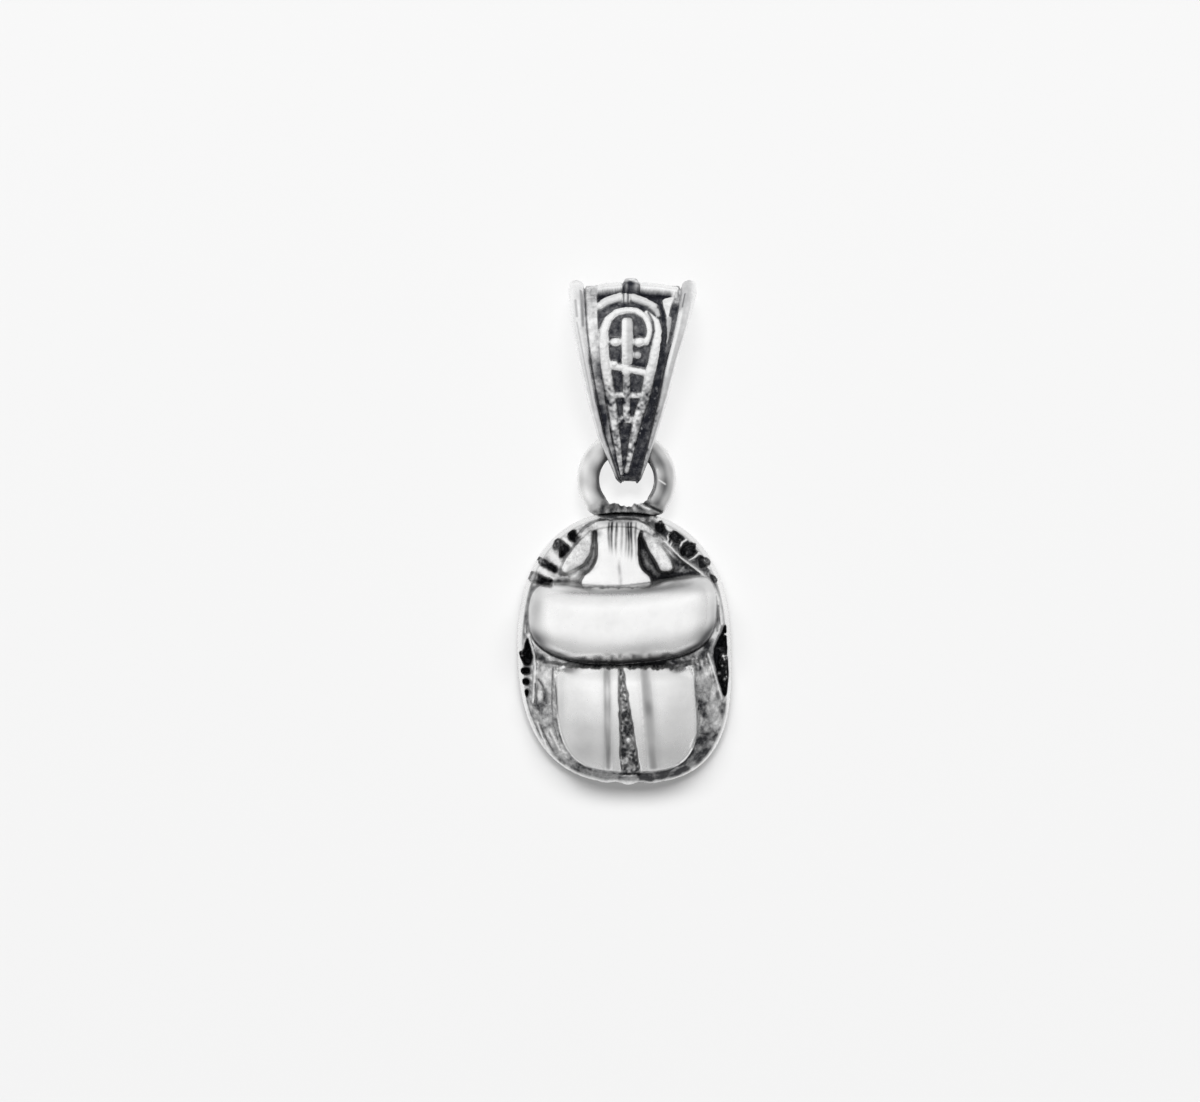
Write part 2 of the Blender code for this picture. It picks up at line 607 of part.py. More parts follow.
def resting_tilt():
    """The angle at which the bail, hung on the ring, meets the ground."""
    heights = np.linspace(0, BAIL_LENGTH, 200)
    depths = bail_half_depth(heights)
    low, high = 0.0, STEEPEST_TILT
    for _ in range(30):
        tilt = (low + high) / 2
        lowest = np.min((heights - WIRE_HEIGHT) * math.sin(tilt) - depths * math.cos(tilt))
        if RING_CENTRE[2] + lowest > GROUND_CLEARANCE:
            high = tilt
        else:
            low = tilt
    return high


def profile(half_depth, start, end, count):
    """Height and depth of points from the tip up the front and down the back."""
    part = (1 - np.cos(np.pi * np.arange(count + 1) / count)) / 2
    heights = start + (end - start) * part
    up = [(h, d) for h, d in zip(heights, half_depth(heights))]
    down = [(h, -d) for h, d in up[-2:0:-1]]
    return up + down


def leaf_sections():
    """Places across the leaf, 0 left to 1 right, with the rise of each."""
    left = [(place * RAIL_WIDTH, rise * RAIL_RISE) for place, rise in LEAF_STEPS]
    left += [(RAIL_WIDTH + STEP_SHARE, BAND_RISE), (RAIL_WIDTH + BAND_WIDTH - STEP_SHARE, BAND_RISE)]
    left += [(RAIL_WIDTH + BAND_WIDTH, 0.0)]
    right = [(1 - place, rise) for place, rise in reversed(left)]
    return left + right


def bail_mesh():
    """The leaf: its outer face with rails and bands, its hole, and the two cut sides."""
    outer = profile(bail_half_depth, 0.0, BAIL_LENGTH, BAIL_STATIONS)
    inner = profile(hole_half_depth, HOLE_START, HOLE_END, BAIL_STATIONS)
    across = leaf_sections()
    width = len(across) + 2
    vertices = []
    for k, ((h, d), (hole_h, hole_d)) in enumerate(zip(outer, inner)):
        before, after = outer[k - 1], outer[(k + 1) % len(outer)]
        run = Vector((after[0] - before[0], after[1] - before[1])).normalized()
        left, right = bail_edge(BAIL_LEFT, h), bail_edge(BAIL_RIGHT, h)
        scale = rise_scale(h)
        for place, rise in across:
            lift = (rise - RAIL_RISE) * scale
            x = left + (right - left) * place
            vertices.append((x, h - WIRE_HEIGHT - run.y * lift, d + run.x * lift))
        hole_left, hole_right = bail_edge(BAIL_LEFT, hole_h), bail_edge(BAIL_RIGHT, hole_h)
        vertices.append((hole_right, hole_h - WIRE_HEIGHT, hole_d))
        vertices.append((hole_left, hole_h - WIRE_HEIGHT, hole_d))
    faces = []
    total = len(outer)
    for k in range(total):
        for j in range(width):
            a, b = k * width, ((k + 1) % total) * width
            nxt = (j + 1) % width
            faces.append((a + j, b + j, b + nxt, a + nxt))
    return mesh_from("bail", vertices, faces)


def on_leaf(x, height, lift):
    """A point on the ground of the bail's front leaf, in the bail's own axes."""
    low, high = height - SLOPE_STEP, height + SLOPE_STEP
    run = Vector((high - low, float(bail_half_depth(high) - bail_half_depth(low)))).normalized()
    rise = (lift - RAIL_RISE) * rise_scale(height)
    depth = float(bail_half_depth(height))
    return Vector((x, height - WIRE_HEIGHT - run.y * rise, depth + run.x * rise)) * MM


def stroke(name, radius, lift, path):
    """A wire along the leaf through (x, height) points."""
    curve = bpy.data.curves.new(name, "CURVE")
    curve.dimensions = "3D"
    curve.bevel_depth = radius * MM
    curve.bevel_resolution = 1
    curve.use_fill_caps = True
    spline = curve.splines.new("POLY")
    spline.points.add(len(path) - 1)
    for point, (x, height) in zip(spline.points, path):
        point.co = (*on_leaf(x, height, lift), 1.0)
    return bpy.data.objects.new(name, curve)


def bead(name, radius, lift, x, height):
    mesh = bpy.data.meshes.new(name)
    work = bmesh.new()
    bmesh.ops.create_uvsphere(work, u_segments=10, v_segments=7, radius=radius * MM)
    work.to_mesh(mesh)
    work.free()
    thing = bpy.data.objects.new(name, mesh)
    thing.location = on_leaf(x, height, lift)
    return thing


def add_bail(material):
    """The leaf with its strokes joined on, hung on the ring and leaning back to the ground."""
    bail = add_object("bail", bail_mesh(), material)
    bail.location = Vector((RING_CENTRE[0], RING_CENTRE[1] + RING_RADIUS, RING_CENTRE[2])) * MM
    bail.rotation_euler = (resting_tilt(), 0, 0)
    parts = [stroke(*row) for row in STROKES] + [bead(*row) for row in BEADS]
    for part in parts:
        bpy.context.collection.objects.link(part)
        solid = part
        if part.type == "CURVE":
            bpy.context.view_layer.update()
            shaped = part.evaluated_get(bpy.context.evaluated_depsgraph_get())
            mesh = bpy.data.meshes.new_from_object(shaped)
            solid = bpy.data.objects.new(part.name + "_solid", mesh)
            bpy.context.collection.objects.link(solid)
            bpy.data.objects.remove(part)
        solid.parent = bail
        solid.hide_render = True
        solid.display_type = "WIRE"
        join = bail.modifiers.new(solid.name, "BOOLEAN")
        join.object = solid
        join.operation = "UNION"
        join.solver = "EXACT"


def build():
    clear_scene()
    cast = silver("cast silver", (0.82, 0.81, 0.79), 0.22)
    wire = silver("silver wire", (0.80, 0.80, 0.79), 0.25)
    leaf = silver("darkened silver leaf", (0.62, 0.61, 0.60), 0.32)
    relief = Scarab()
    add_object("scarab", scarab_mesh(relief), cast)
    add_ring(wire, relief.outline)
    add_bail(leaf)


build()
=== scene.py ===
"""Looks of the scarab amulet: a cast silver relief, a soldered ring and a darkened folded bail.

Lengths are in millimetres and MM turns them into metres. The scarab lies on its flat back with
its head towards +Y, and the camera looks straight down on it.
"""
import math

import bpy
import numpy as np
from mathutils import Matrix, Vector


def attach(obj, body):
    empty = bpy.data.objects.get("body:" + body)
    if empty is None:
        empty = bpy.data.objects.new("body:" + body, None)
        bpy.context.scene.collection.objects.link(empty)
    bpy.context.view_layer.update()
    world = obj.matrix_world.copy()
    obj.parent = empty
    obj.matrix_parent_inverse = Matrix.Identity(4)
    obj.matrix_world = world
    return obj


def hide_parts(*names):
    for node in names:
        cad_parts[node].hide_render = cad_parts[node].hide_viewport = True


MM = 0.001

# Plan of the scarab.
HALF_WIDTH = 7.13
FRONT_LENGTH = 9.13
FRONT_POWER = 2.3
REAR_LENGTH = 8.97
REAR_POWER = 2.65
REAR_DRIFT = 0.55
DRIFT_POWER = 1.3
REAR_WAVE = 0.10
REAR_WAVE_PITCH = 1.67
REAR_WAVE_REACH = 1.6
REAR_CUSP_X = 0.27
REAR_LIMIT = -9.05
EDGE_TRIM = 0.998

# Heights of the relief.
RIM_TOP = 1.35
RIM_WIDTH = 0.2
RIM_ROUNDING = 0.3
RIM_FALL = 0.45
FLOOR = 0.75
SLOPE_POWER = 0.8
CORE_LEVELS = ((-9.0, 2.9), (-6.5, 3.5), (-1.5, 4.25), (0.5, 3.3), (3.0, 3.1), (5.0, 2.45), (9.0, 2.3))
BACK_BEVEL = 0.15
WALL_TARNISH = 0.12
WALL_POLISH = 0.6

# Head plate, side lobes and the yoke in front of them.
HEAD_CORNERS = ((-1.85, 8.5), (-1.85, 7.4), (-1.85, 6.1), (-2.2, 5.35), (-2.8, 4.8), (-2.75, 4.25),
                (-1.9, 4.18), (0.9, 4.18), (1.75, 4.25), (1.75, 4.85), (1.2, 5.4), (1.0, 6.2),
                (1.0, 7.4), (1.35, 8.5), (0.6, 8.62), (-1.1, 8.62))
HEAD_REAR_Y = 4.2
HEAD_LENGTH = 4.3
HEAD_REAR_TOP = 3.85
HEAD_FALL = 1.1
HEAD_CENTRE_X = -0.4
HEAD_CROWN = 0.04
CREASE_X = -0.27
CREASE_HALF_WIDTH = 0.09
CREASE_DEPTH = 0.06
FLUTES = 8
FLUTE_CENTRE_X = -0.08
FLUTE_PITCH = 0.26
FLUTE_HALF_WIDTH = 0.072
FLUTE_DEPTH = 0.2
FLUTE_FRONT = (8.35, 8.6)
FLUTE_REAR_Y = 4.6
FLUTE_REAR_SPREAD = 2.2
LEFT_LOBE_CORNERS = ((-2.13, 7.8), (-2.6, 7.55), (-3.45, 6.65), (-4.15, 5.7), (-4.1, 5.1),
                     (-3.6, 5.05), (-2.8, 5.55), (-2.3, 6.15), (-2.13, 6.9))
RIGHT_LOBE_CORNERS = ((1.22, 7.85), (1.65, 7.7), (2.4, 7.0), (3.1, 5.95), (3.3, 5.4), (2.95, 5.1),
                      (2.4, 5.15), (2.05, 5.75), (1.55, 6.65), (1.22, 7.4))
YOKE = ((-2.95, 7.3), (-2.35, 7.95), (-1.7, 8.3), (-0.4, 8.42), (0.7, 8.36), (1.35, 8.1), (1.95, 7.5),
        (2.3, 7.1))
YOKE_HALF_WIDTH = 0.34
YOKE_TOP = 2.95
LOBE_TOP = 3.15
LOBE_CROWN = 0.25
LOBE_HALF = 0.5

# Pronotum and the furrow round its rear.
PRONOTUM_CENTRE = (-0.1, 1.69)
PRONOTUM_HALF = (6.25, 2.62)
PRONOTUM_BEND = 0.0233
PRONOTUM_SLANT = 0.057
PRONOTUM_LEFT_EASE = 0.2
PRONOTUM_POWERS = (7.0, 2.5)
PRONOTUM_ROUNDING = 2.5
PRONOTUM_FRONT_EDGE = 3.15
PRONOTUM_REAR_EDGE = 3.9
PRONOTUM_TOP = 5.65
PRONOTUM_CROWN_POWER = 2.4
FURROW_HALF_WIDTH = 0.085
FURROW_DEPTH = 0.6

# Wing cases, with the seam between them and a ridge and a groove beside it: x at the front
# and at the rear.
WING_FRONT = -1.1
WING_BEND_Y = -3.2
WING_HALF_WIDTH = 4.62
WING_REAR = 4.95
WING_LENGTH = WING_REAR + WING_FRONT - WING_BEND_Y
WING_POWER = 3.2
WING_TOP = 6.2
WING_ROLL = 0.24
WING_ROLL_DROP = 1.0
WING_DROP = 2.6
WING_DROP_POWER = 2.2
WING_CROSS_DROP = 1.7
WING_CROSS_POWER = 2.3
WING_TRIM = 0.03
WING_NOTCH = 0.16
SUTURE_LEFT = (-0.36, -0.22)
SUTURE_RIGHT = (-0.12, 1.1)
RIDGE_LEFT = (-0.87, -0.75)
RIDGE_RIGHT = (1.0, 1.5)
GROOVE_LEFT = (-1.4, -1.3)
GROOVE_RIGHT = (1.75, 2.4)
SUTURE_DEPTH = 0.55
RIDGE_ROUNDING = 0.07
GROOVE_DEPTH = 0.22
# Painted shade along each groove, wider than the groove: a line's x at both ends and half width.
GROOVE_SHADES = (((-1.16, -1.0), 0.34), ((1.4, 2.05), 0.42))
# Lumps in the seam: centre, half width, half length, rise and how far they are rubbed bright.
SUTURE_BEADS = (((0.28, -6.0), 0.26, 0.27, 0.6, 1.0), ((0.1, -7.35), 0.3, 0.35, 0.3, 0.45),
                ((0.42, -7.9), 0.3, 0.28, 0.3, 0.45))

# Slots on the left and round pits on the right of the front border: angle from the head's
# direction, distance in from the edge, half width along the edge, half length and darkness.
LEFT_SLOTS = ((-24.5, 0.78, 0.31, 0.42, 0.7), (-32.5, 0.8, 0.4, 0.56, 0.82),
              (-43.8, 0.82, 0.22, 0.78, 0.8), (-52.0, 0.74, 0.32, 0.78, 0.58))
RIGHT_PITS = ((16.6, 0.85, 0.36, 0.52, 0.62), (25.8, 0.78, 0.44, 0.44, 0.85), (34.4, 0.8, 0.5, 0.5, 0.9),
              (43.4, 0.6, 0.46, 0.34, 0.88), (52.0, 0.48, 0.46, 0.22, 0.75))
# Bright teeth between the slots: middle, half length, half width and turn in degrees.
TEETH = (((-2.62, 8.4), 0.26, 0.1, 67), ((-3.02, 7.69), 0.25, 0.15, -60), ((-3.82, 7.14), 0.52, 0.2, -42),
         ((-4.62, 6.03), 0.85, 0.27, -50), ((-5.32, 5.18), 0.76, 0.24, -33))
# Bright crests among the pits: points of the line and half width.
CRESTS = ((((2.75, 8.2), (3.0, 7.98), (3.15, 7.85)), 0.12),
          (((3.05, 7.7), (2.9, 7.5), (2.95, 7.3), (2.85, 7.1)), 0.06),
          (((3.75, 6.75), (3.85, 7.1), (4.15, 7.28)), 0.07),
          (((4.36, 6.0), (4.7, 6.15), (4.95, 6.38), (5.25, 6.3)), 0.1),
          (((5.6, 5.5), (5.85, 5.35)), 0.11), (((3.1, 6.95), (3.2, 7.2)), 0.06))
LIP_RISE = 0.15
TOOTH_RISE = 0.12
# Slots and pits go that share of the way down to the floor.
PIT_DEPTH_SHARE = 0.6

# Deep hollows behind the pronotum's ends, as loops, and the beads in the right
# one: centre, half width and darkness.
LEFT_HOLLOWS = (((-6.4, 0.8), (-6.67, 0.0), (-6.95, -0.16), (-6.92, -0.5), (-6.67, -0.98), (-6.26, -1.08),
                 (-6.04, -0.69), (-6.08, -0.21), (-6.24, 0.32)),
                ((-6.86, -1.3), (-6.56, -1.2), (-6.26, -1.25), (-6.22, -1.6), (-6.5, -1.7), (-6.8, -1.6)),
                ((-6.74, -2.0), (-6.5, -1.93), (-6.28, -2.0), (-6.26, -2.3), (-6.5, -2.4), (-6.72, -2.3)),
                ((-6.58, -2.75), (-6.45, -2.68), (-6.33, -2.78), (-6.36, -3.05), (-6.44, -3.2),
                 (-6.55, -3.05)))
RIGHT_HOLLOW = ((6.75, 1.6), (6.84, 0.06), (6.93, -0.8), (6.93, -2.16), (6.84, -2.95), (6.64, -3.15),
                (6.36, -2.53), (6.11, -1.42), (5.9, -0.31), (6.02, 0.31), (6.42, 1.05))
HOLLOW_BEADS = (((6.69, 0.99), 0.12, 0.1), ((6.6, -0.45), 0.2, 0.1), ((6.68, -0.7), 0.12, 0.2),
                ((6.3, -1.6), 0.14, 0.55), ((6.67, -2.0), 0.15, 0.5), ((6.5, -1.1), 0.1, 0.45))

# Solder at the front, and the short stripes beside the right wing case.
SOLDER_CENTRE = (0.17, 9.25)
SOLDER_HALF = (2.35, 0.95)
SOLDER_TOP = 2.6
STRIPE_SPOT = (5.05, -0.85)
STRIPE_HALVES = (0.55, 0.6)
STRIPE_PITCH = 0.3
STRIPE_RISE = 0.07

# Ridges of the legs and the border: points of the line, half width and rise.
RIDGES = (
    (((1.67, 8.18), (2.5, 7.35), (3.33, 6.52), (3.91, 5.94), (4.55, 5.5), (5.13, 5.05), (5.64, 4.54),
      (6.02, 3.9), (6.28, 3.26), (6.42, 2.5), (6.5, 1.7)), 0.13, 0.45),
    (((-6.4, 0.96), (-6.19, 0.32), (-5.97, -0.43), (-5.9, -1.17), (-5.97, -2.35), (-6.05, -3.5)),
     0.1, 0.35),
    (((5.56, -0.31), (5.87, -1.17), (6.2, -2.28), (6.5, -3.27)), 0.09, 0.35),
    (((-4.9, -5.4), (-4.55, -6.1), (-4.27, -6.7)), 0.09, 0.2),
    (((-5.75, -4.9), (-5.4, -5.9), (-4.95, -6.9)), 0.08, 0.2),
)
# Dark cut lines: points of the line, half width, depth and darkness.
CUTS = (
    (((-4.95, 4.75), (-5.53, 4.25), (-6.1, 3.6), (-6.4, 2.8), (-6.5, 1.9), (-6.47, 1.1)),
     0.06, 0.15, 0.75),
    (((-5.6, -5.0), (-5.2, -5.9), (-4.7, -6.8)), 0.1, 0.12, 0.75),
    (((-5.9, -2.3), (-5.85, -3.0), (-5.9, -3.7)), 0.08, 0.1, 0.7),
    (((-5.7, -2.0), (-5.45, -2.35), (-5.2, -2.9), (-5.15, -3.6)), 0.1, 0.1, 0.75),
    (((-4.72, -1.2), (-4.78, -2.4), (-4.8, -3.6), (-4.72, -4.8), (-4.4, -6.0)), 0.07, 0.1, 0.7),
    (((4.66, -0.9), (4.72, -2.2), (4.95, -3.6), (5.02, -4.7), (4.85, -5.6), (4.5, -6.5)), 0.08, 0.1, 0.6),
    (((6.28, 2.9), (6.3, 2.0), (6.2, 1.2)), 0.06, 0.1, 0.6),
    (((-1.6, -1.35), (-1.05, -1.05)), 0.05, 0.12, 0.6),
)
# Round lumps on the sides: centre, half width, half length and rise.
LUMPS = (
    ((-5.6, -3.05), 0.28, 0.5, 0.28),
    ((-5.2, -1.5), 0.42, 0.9, 0.18),
    ((6.0, -3.9), 0.5, 0.75, 0.22),
    ((5.4, -2.2), 0.4, 0.7, 0.14),
    ((5.5, -5.6), 0.35, 0.6, 0.14),
    ((3.9, -7.4), 0.5, 0.22, 0.18),
    ((-3.2, -7.95), 0.6, 0.2, 0.15),
)
# Patches of the sides and the borders: middle, half widths, turn in degrees and darkness; the one at
# (5.55, 0.35), by the pronotum's lower right corner, is painted shade.
PATCHES = (
    ((-5.15, -1.5), 0.6, 1.1, 0, 0.24), ((-5.5, -0.7), 0.09, 0.28, 8, 0.0),
    ((-5.4, -3.3), 0.6, 0.8, 0, 0.66), ((-5.62, -3.05), 0.26, 0.46, 10, 0.12),
    ((-5.3, -4.6), 0.5, 0.5, 0, 0.3), ((-5.1, -5.9), 0.3, 1.0, 30, 0.32),
    ((5.2, -2.6), 0.5, 0.9, 0, 0.5), ((5.5, -1.6), 0.16, 0.14, 0, 0.08),
    ((5.45, -2.1), 0.2, 0.3, 20, 0.62), ((6.0, -3.9), 0.5, 0.8, -8, 0.26),
    ((5.55, -5.0), 0.35, 0.4, 0, 0.5), ((5.6, -6.0), 0.45, 0.9, -25, 0.7),
    ((4.6, -7.3), 0.8, 0.5, 35, 0.66), ((2.3, -8.35), 0.95, 0.22, 8, 0.85),
    ((2.6, -7.55), 0.22, 0.1, 0, 0.1), ((-3.2, -7.6), 1.3, 0.38, -24, 0.6),
    ((-1.3, -8.1), 0.5, 0.18, -10, 0.25), ((-2.4, -8.1), 0.6, 0.1, -15, 0.3),
    ((0.4, -8.55), 0.55, 0.35, 0, 0.15), ((3.6, -7.9), 0.5, 0.12, 20, 0.3),
    ((-4.3, -7.3), 0.25, 0.35, 0, 0.7), ((4.0, 5.65), 0.55, 0.28, -35, 0.85),
    ((3.5, 5.95), 0.2, 0.25, 0, 0.9), ((3.9, 5.35), 0.35, 0.15, -30, 0.6),
    ((2.45, 7.25), 0.8, 0.3, -45, 0.38), ((3.0, 6.6), 0.6, 0.14, -45, 0.35),
    ((-2.05, 5.8), 0.25, 0.35, 0, 0.6), ((-4.15, 5.0), 0.22, 0.2, 0, 0.95),
    ((-3.9, 4.6), 0.7, 0.25, 0, 0.42), ((-3.3, 4.7), 0.3, 0.16, 0, 0.2),
    ((-4.4, 4.9), 0.15, 0.12, 0, 0.15), ((-5.55, -0.6), 0.65, 0.28, -38, 0.9),
    ((5.35, -0.3), 0.6, 0.3, 30, 0.85), ((5.0, -5.9), 0.3, 0.9, -28, 0.85),
    ((4.0, -7.1), 0.7, 0.25, 35, 0.85), ((-4.5, -6.5), 0.25, 0.7, 30, 0.6),
    ((-2.2, -7.75), 1.0, 0.12, -14, 0.75), ((5.9, -3.0), 0.18, 0.5, -12, 0.15),
    ((5.2, -4.2), 0.25, 0.3, 0, 0.7), ((5.55, 0.35), 0.5, 0.34, 45, 0.85),
    ((2.75, 6.85), 1.1, 0.2, -47, 0.2),
)
# Painted shade on the polished forms, as the patches are given.
PAINTED_SHADES = (
    ((-5.9, 2.6), 0.5, 1.5, -8, 0.3), ((-5.75, 0.65), 1.0, 0.5, -42, 0.75),
    ((-4.4, -0.3), 1.2, 0.2, -18, 0.5), ((5.95, 2.4), 0.35, 1.5, 0, 0.3),
    ((5.5, 0.75), 1.25, 0.5, 50, 0.98), ((4.5, 0.0), 1.1, 0.25, 18, 0.7),
    ((1.0, 0.05), 1.5, 0.4, 4, 0.14), ((2.2, -0.45), 2.2, 0.25, 6, 0.1),
    ((-1.2, -0.55), 2.5, 0.2, -3, 0.08), ((4.0, 4.3), 2.4, 0.45, 4, 0.26),
    ((3.6, 4.75), 1.6, 0.2, 8, 0.36), ((0.0, 3.95), 6.0, 0.25, 0, 0.16),
    ((-3.0, -6.9), 1.7, 0.9, 10, 0.2), ((2.9, -6.9), 1.2, 0.7, -10, 0.12),
    ((-2.4, -5.2), 1.9, 0.7, 0, 0.1), ((0.9, 7.6), 0.25, 0.9, 0, 0.12),
    ((-0.4, 8.45), 1.6, 0.22, 0, 0.4), ((-4.2, -4.0), 0.3, 2.6, 0, 0.12),
)
# Pale ground beside the lobes and below the left one, as the patches are given.
PALE_BY_LOBES = (((-2.2, 6.2), 0.7, 1.6), ((2.95, 6.6), 1.3, 0.36, -47))
PALE_GROUND = ((-3.3, 4.85), 1.2, 0.55)

# Ring. It ends a little inside the scarab's front edge, and its cut is a line across its top.
RING_CENTRE = (0.17, 11.27, 1.9)
RING_RADIUS = 2.56
WIRE_RADIUS = 0.745
WIRE_TRIM = 0.996
SOLDER_OVERLAP = 0.03
SEAM_CUT = ((0.7, 9.98), (1.5, 9.62), (2.45, 9.12))
# A slightly raised line beside the cut, with a painted highlight along it.
SEAM_EDGE = ((0.5, 9.86), (1.65, 9.36))
SEAM_DEPTH = 0.3
# Darkness across the wire, from the ring's hole at -1 to its outside at 1: painted shade, darkest on the
# side of the hole.
RING_LEFT_SHADES = ((-1, 0.95), (-0.92, 0.72), (-0.6, 0.5), (-0.2, 0.34), (0.2, 0.18), (0.7, 0.08),
                    (1, 0.03))
RING_RIGHT_SHADES = ((-1, 0.95), (-0.9, 0.45), (-0.7, 0.18), (-0.3, 0.56), (0.05, 0.72), (0.4, 0.36),
                     (0.7, 0.14), (1, 0.04))
SCRATCHES = (((2.2, 11.96), (2.1, 11.3), (1.98, 10.3)), ((2.28, 11.28), (2.74, 10.97)))

# Bail, with heights measured from its tip.
BAIL_LENGTH = 13.6
BAIL_DEPTH = 3.45
BAIL_PINCH = 0.442
BAIL_BLUNT = 8.0
HOLE_START = 1.1
HOLE_END = 12.3
HOLE_DEPTH = 1.96
HOLE_PINCH = 0.29
WIRE_HEIGHT = 2.83
GROUND_CLEARANCE = 0.01
BAIL_LEFT = ((0.0, -0.45), (0.35, -0.75), (1.2, -1.05), (3.3, -1.9), (6.0, -2.65), (8.4, -3.2),
             (10.8, -3.6), (13.6, -3.85))
BAIL_RIGHT = ((0.0, 0.75), (0.35, 1.0), (1.2, 1.3), (3.3, 1.95), (6.0, 2.75), (8.4, 3.35),
              (10.8, 4.05), (13.6, 4.65))
RAIL_WIDTH = 0.12
RAIL_RISE = 0.6
BAND_WIDTH = 0.11
BAND_RISE = 0.22
BAND_SHADES = ((6.0, 0.72), (8.4, 0.6), (9.6, 0.08), (11.2, 0.03), (12.4, 0.3))
FULL_RISE_WIDTH = 5.0
STROKE_FULLNESS = 1.12
CREST_REACH = 1.3
CREST_LIFT = 0.22
HOLE_TARNISH = 0.5
HOLE_POLISH = 0.2
# Plate the strokes are drawn on: lowest x and run, and highest x.
LEAF_PLATE = ((-4.4, -0.4), 5.2)
# Raised strokes on the bail's front as x, height and radius, with their darkness.
STROKES = (
    (((-0.34, 0.48, 0.12), (-0.5, 1.94, 0.2), (-0.74, 3.67, 0.28), (-1.04, 5.94, 0.33),
      (-1.44, 8.42, 0.36), (-1.55, 9.67, 0.36), (-1.5, 10.59, 0.33), (-1.24, 11.4, 0.3),
      (-0.68, 11.96, 0.28), (-0.02, 12.13, 0.28), (0.64, 12.07, 0.27), (1.2, 11.64, 0.24),
      (1.42, 11.16, 0.22), (1.53, 10.59, 0.22), (1.43, 10.09, 0.2), (1.22, 9.81, 0.28)), 0.04),
    (((1.3, 12.0, 0.12), (1.96, 11.27, 0.24), (2.08, 10.57, 0.3), (2.06, 9.98, 0.34), (1.88, 9.18, 0.38),
      (1.72, 8.25, 0.38), (1.53, 7.68, 0.38), (1.42, 7.11, 0.36), (1.2, 5.97, 0.34), (0.81, 4.82, 0.32),
      (0.54, 3.68, 0.28), (0.31, 2.54, 0.24), (0.0, 0.79, 0.14)), 0.06),
    (((-0.02, 7.5, 0.26), (-0.02, 4.42, 0.26)), 0.42),
    (((-0.44, 4.37, 0.2), (0.3, 4.34, 0.2)), 0.35),
    (((-1.0, 8.15, 0.26), (-0.02, 7.92, 0.27), (1.5, 7.63, 0.26)), 0.06),
    (((-0.78, 6.08, 0.21), (0.6, 6.08, 0.21), (0.83, 6.1, 0.24)), 0.12),
    (((-1.85, 12.4, 0.3), (-1.3, 12.82, 0.33), (-0.4, 13.1, 0.36)), 0.14),
    (((0.3, 13.1, 0.34), (1.16, 12.8, 0.3), (1.83, 12.46, 0.24)), 0.2),
    (((1.6, 12.4, 0.16), (1.96, 12.12, 0.2), (2.1, 11.75, 0.16)), 0.4),
    (((2.76, 11.5, 0.22), (2.72, 10.8, 0.2), (2.6, 9.9, 0.14), (2.5, 9.2, 0.06)), 0.45),
)
# Round beads: x, height, radius and darkness.
BEADS = ((-0.75, 9.81, 0.38, 0.0), (0.83, 9.81, 0.42, 0.0), (0.72, 8.91, 0.32, 0.35),
         (-0.84, 8.28, 0.3, 0.0), (-0.02, 7.72, 0.36, 0.2), (-1.78, 12.42, 0.3, 0.0),
         (0.78, 6.12, 0.24, 0.0), (-0.35, 4.5, 0.2, 0.3), (0.3, 4.5, 0.2, 0.25))
# The flat post: x, lower and upper height, half width and rise.
POST = (0.03, 8.2, 11.6, 0.44, 0.36)
# The bow over the crest, as seen from the front: x, height and radius.
CREST_BOW = (((-2.25, 12.98, 0.18), (-1.4, 13.15, 0.21), (-0.4, 13.26, 0.2)),
             ((1.0, 13.24, 0.2), (2.1, 13.14, 0.2), (3.3, 12.94, 0.17)))
# Knots as x, height and half sizes, and the offsets of the cuts across them.
CREST_KNOT = (0.3, 13.26, 0.62, 0.26)
CREST_KNOT_CUTS = (-0.56, 0.5)
LOWER_KNOT = (-0.04, 12.97, 0.36, 0.42)
LOWER_KNOT_CUTS = (-0.17, 0.13)
HOOK_SPLIT = ((1.43, 11.97), (1.74, 11.23), (1.8, 10.59), (1.66, 10.02), (1.56, 9.6))
FLARE = ((2.32, 12.85), (3.2, 13.05), (3.0, 12.35), (2.9, 11.8), (2.76, 11.4), (2.52, 11.8))
GROOVE = ((2.25, 12.6), (2.43, 11.77), (2.5, 10.57), (2.42, 9.4), (2.24, 8.25), (2.03, 7.11), (1.8, 5.97),
          (1.46, 4.82), (1.12, 3.67), (0.78, 2.49), (0.45, 1.3))
GROOVE_HALVES = ((1.0, 0.1), (5.0, 0.15), (8.5, 0.18), (12.0, 0.11))
# Streaks on the rails: points as x and height, half width and darkness.
STREAKS = ((((-3.4, 12.6), (-3.3, 11.6)), 0.1, 0.4), (((-3.04, 13.2), (-2.9, 11.0)), 0.12, 0.5),
           (((3.86, 13.0), (3.68, 12.2)), 0.07, 0.7), (((3.35, 12.3), (3.02, 11.5)), 0.07, 0.85),
           (((3.35, 13.3), (3.2, 12.6)), 0.1, 0.6), (((-3.3, 11.2), (-2.7, 8.0), (-2.2, 5.4)), 0.07, 0.3),
           (((2.95, 11.0), (2.75, 9.8), (2.2, 7.0)), 0.08, 0.45), (((2.1, 6.6), (1.5, 4.0)), 0.12, 0.4))

# Grain of the silver: size of its lumps and seed.
FINE_GRAIN, SMALL_GRAIN, BROAD_GRAIN = (0.12, 3), (0.3, 5), (0.9, 8)
NOTCH_GRAIN, CHIP_GRAIN = (0.16, 21), (0.22, 23)
LEAF_FINE_GRAIN, LEAF_SMALL_GRAIN = (0.14, 31), (0.35, 33)
STROKE_FINE_GRAIN, STROKE_SMALL_GRAIN = (0.13, 45), (0.3, 43)

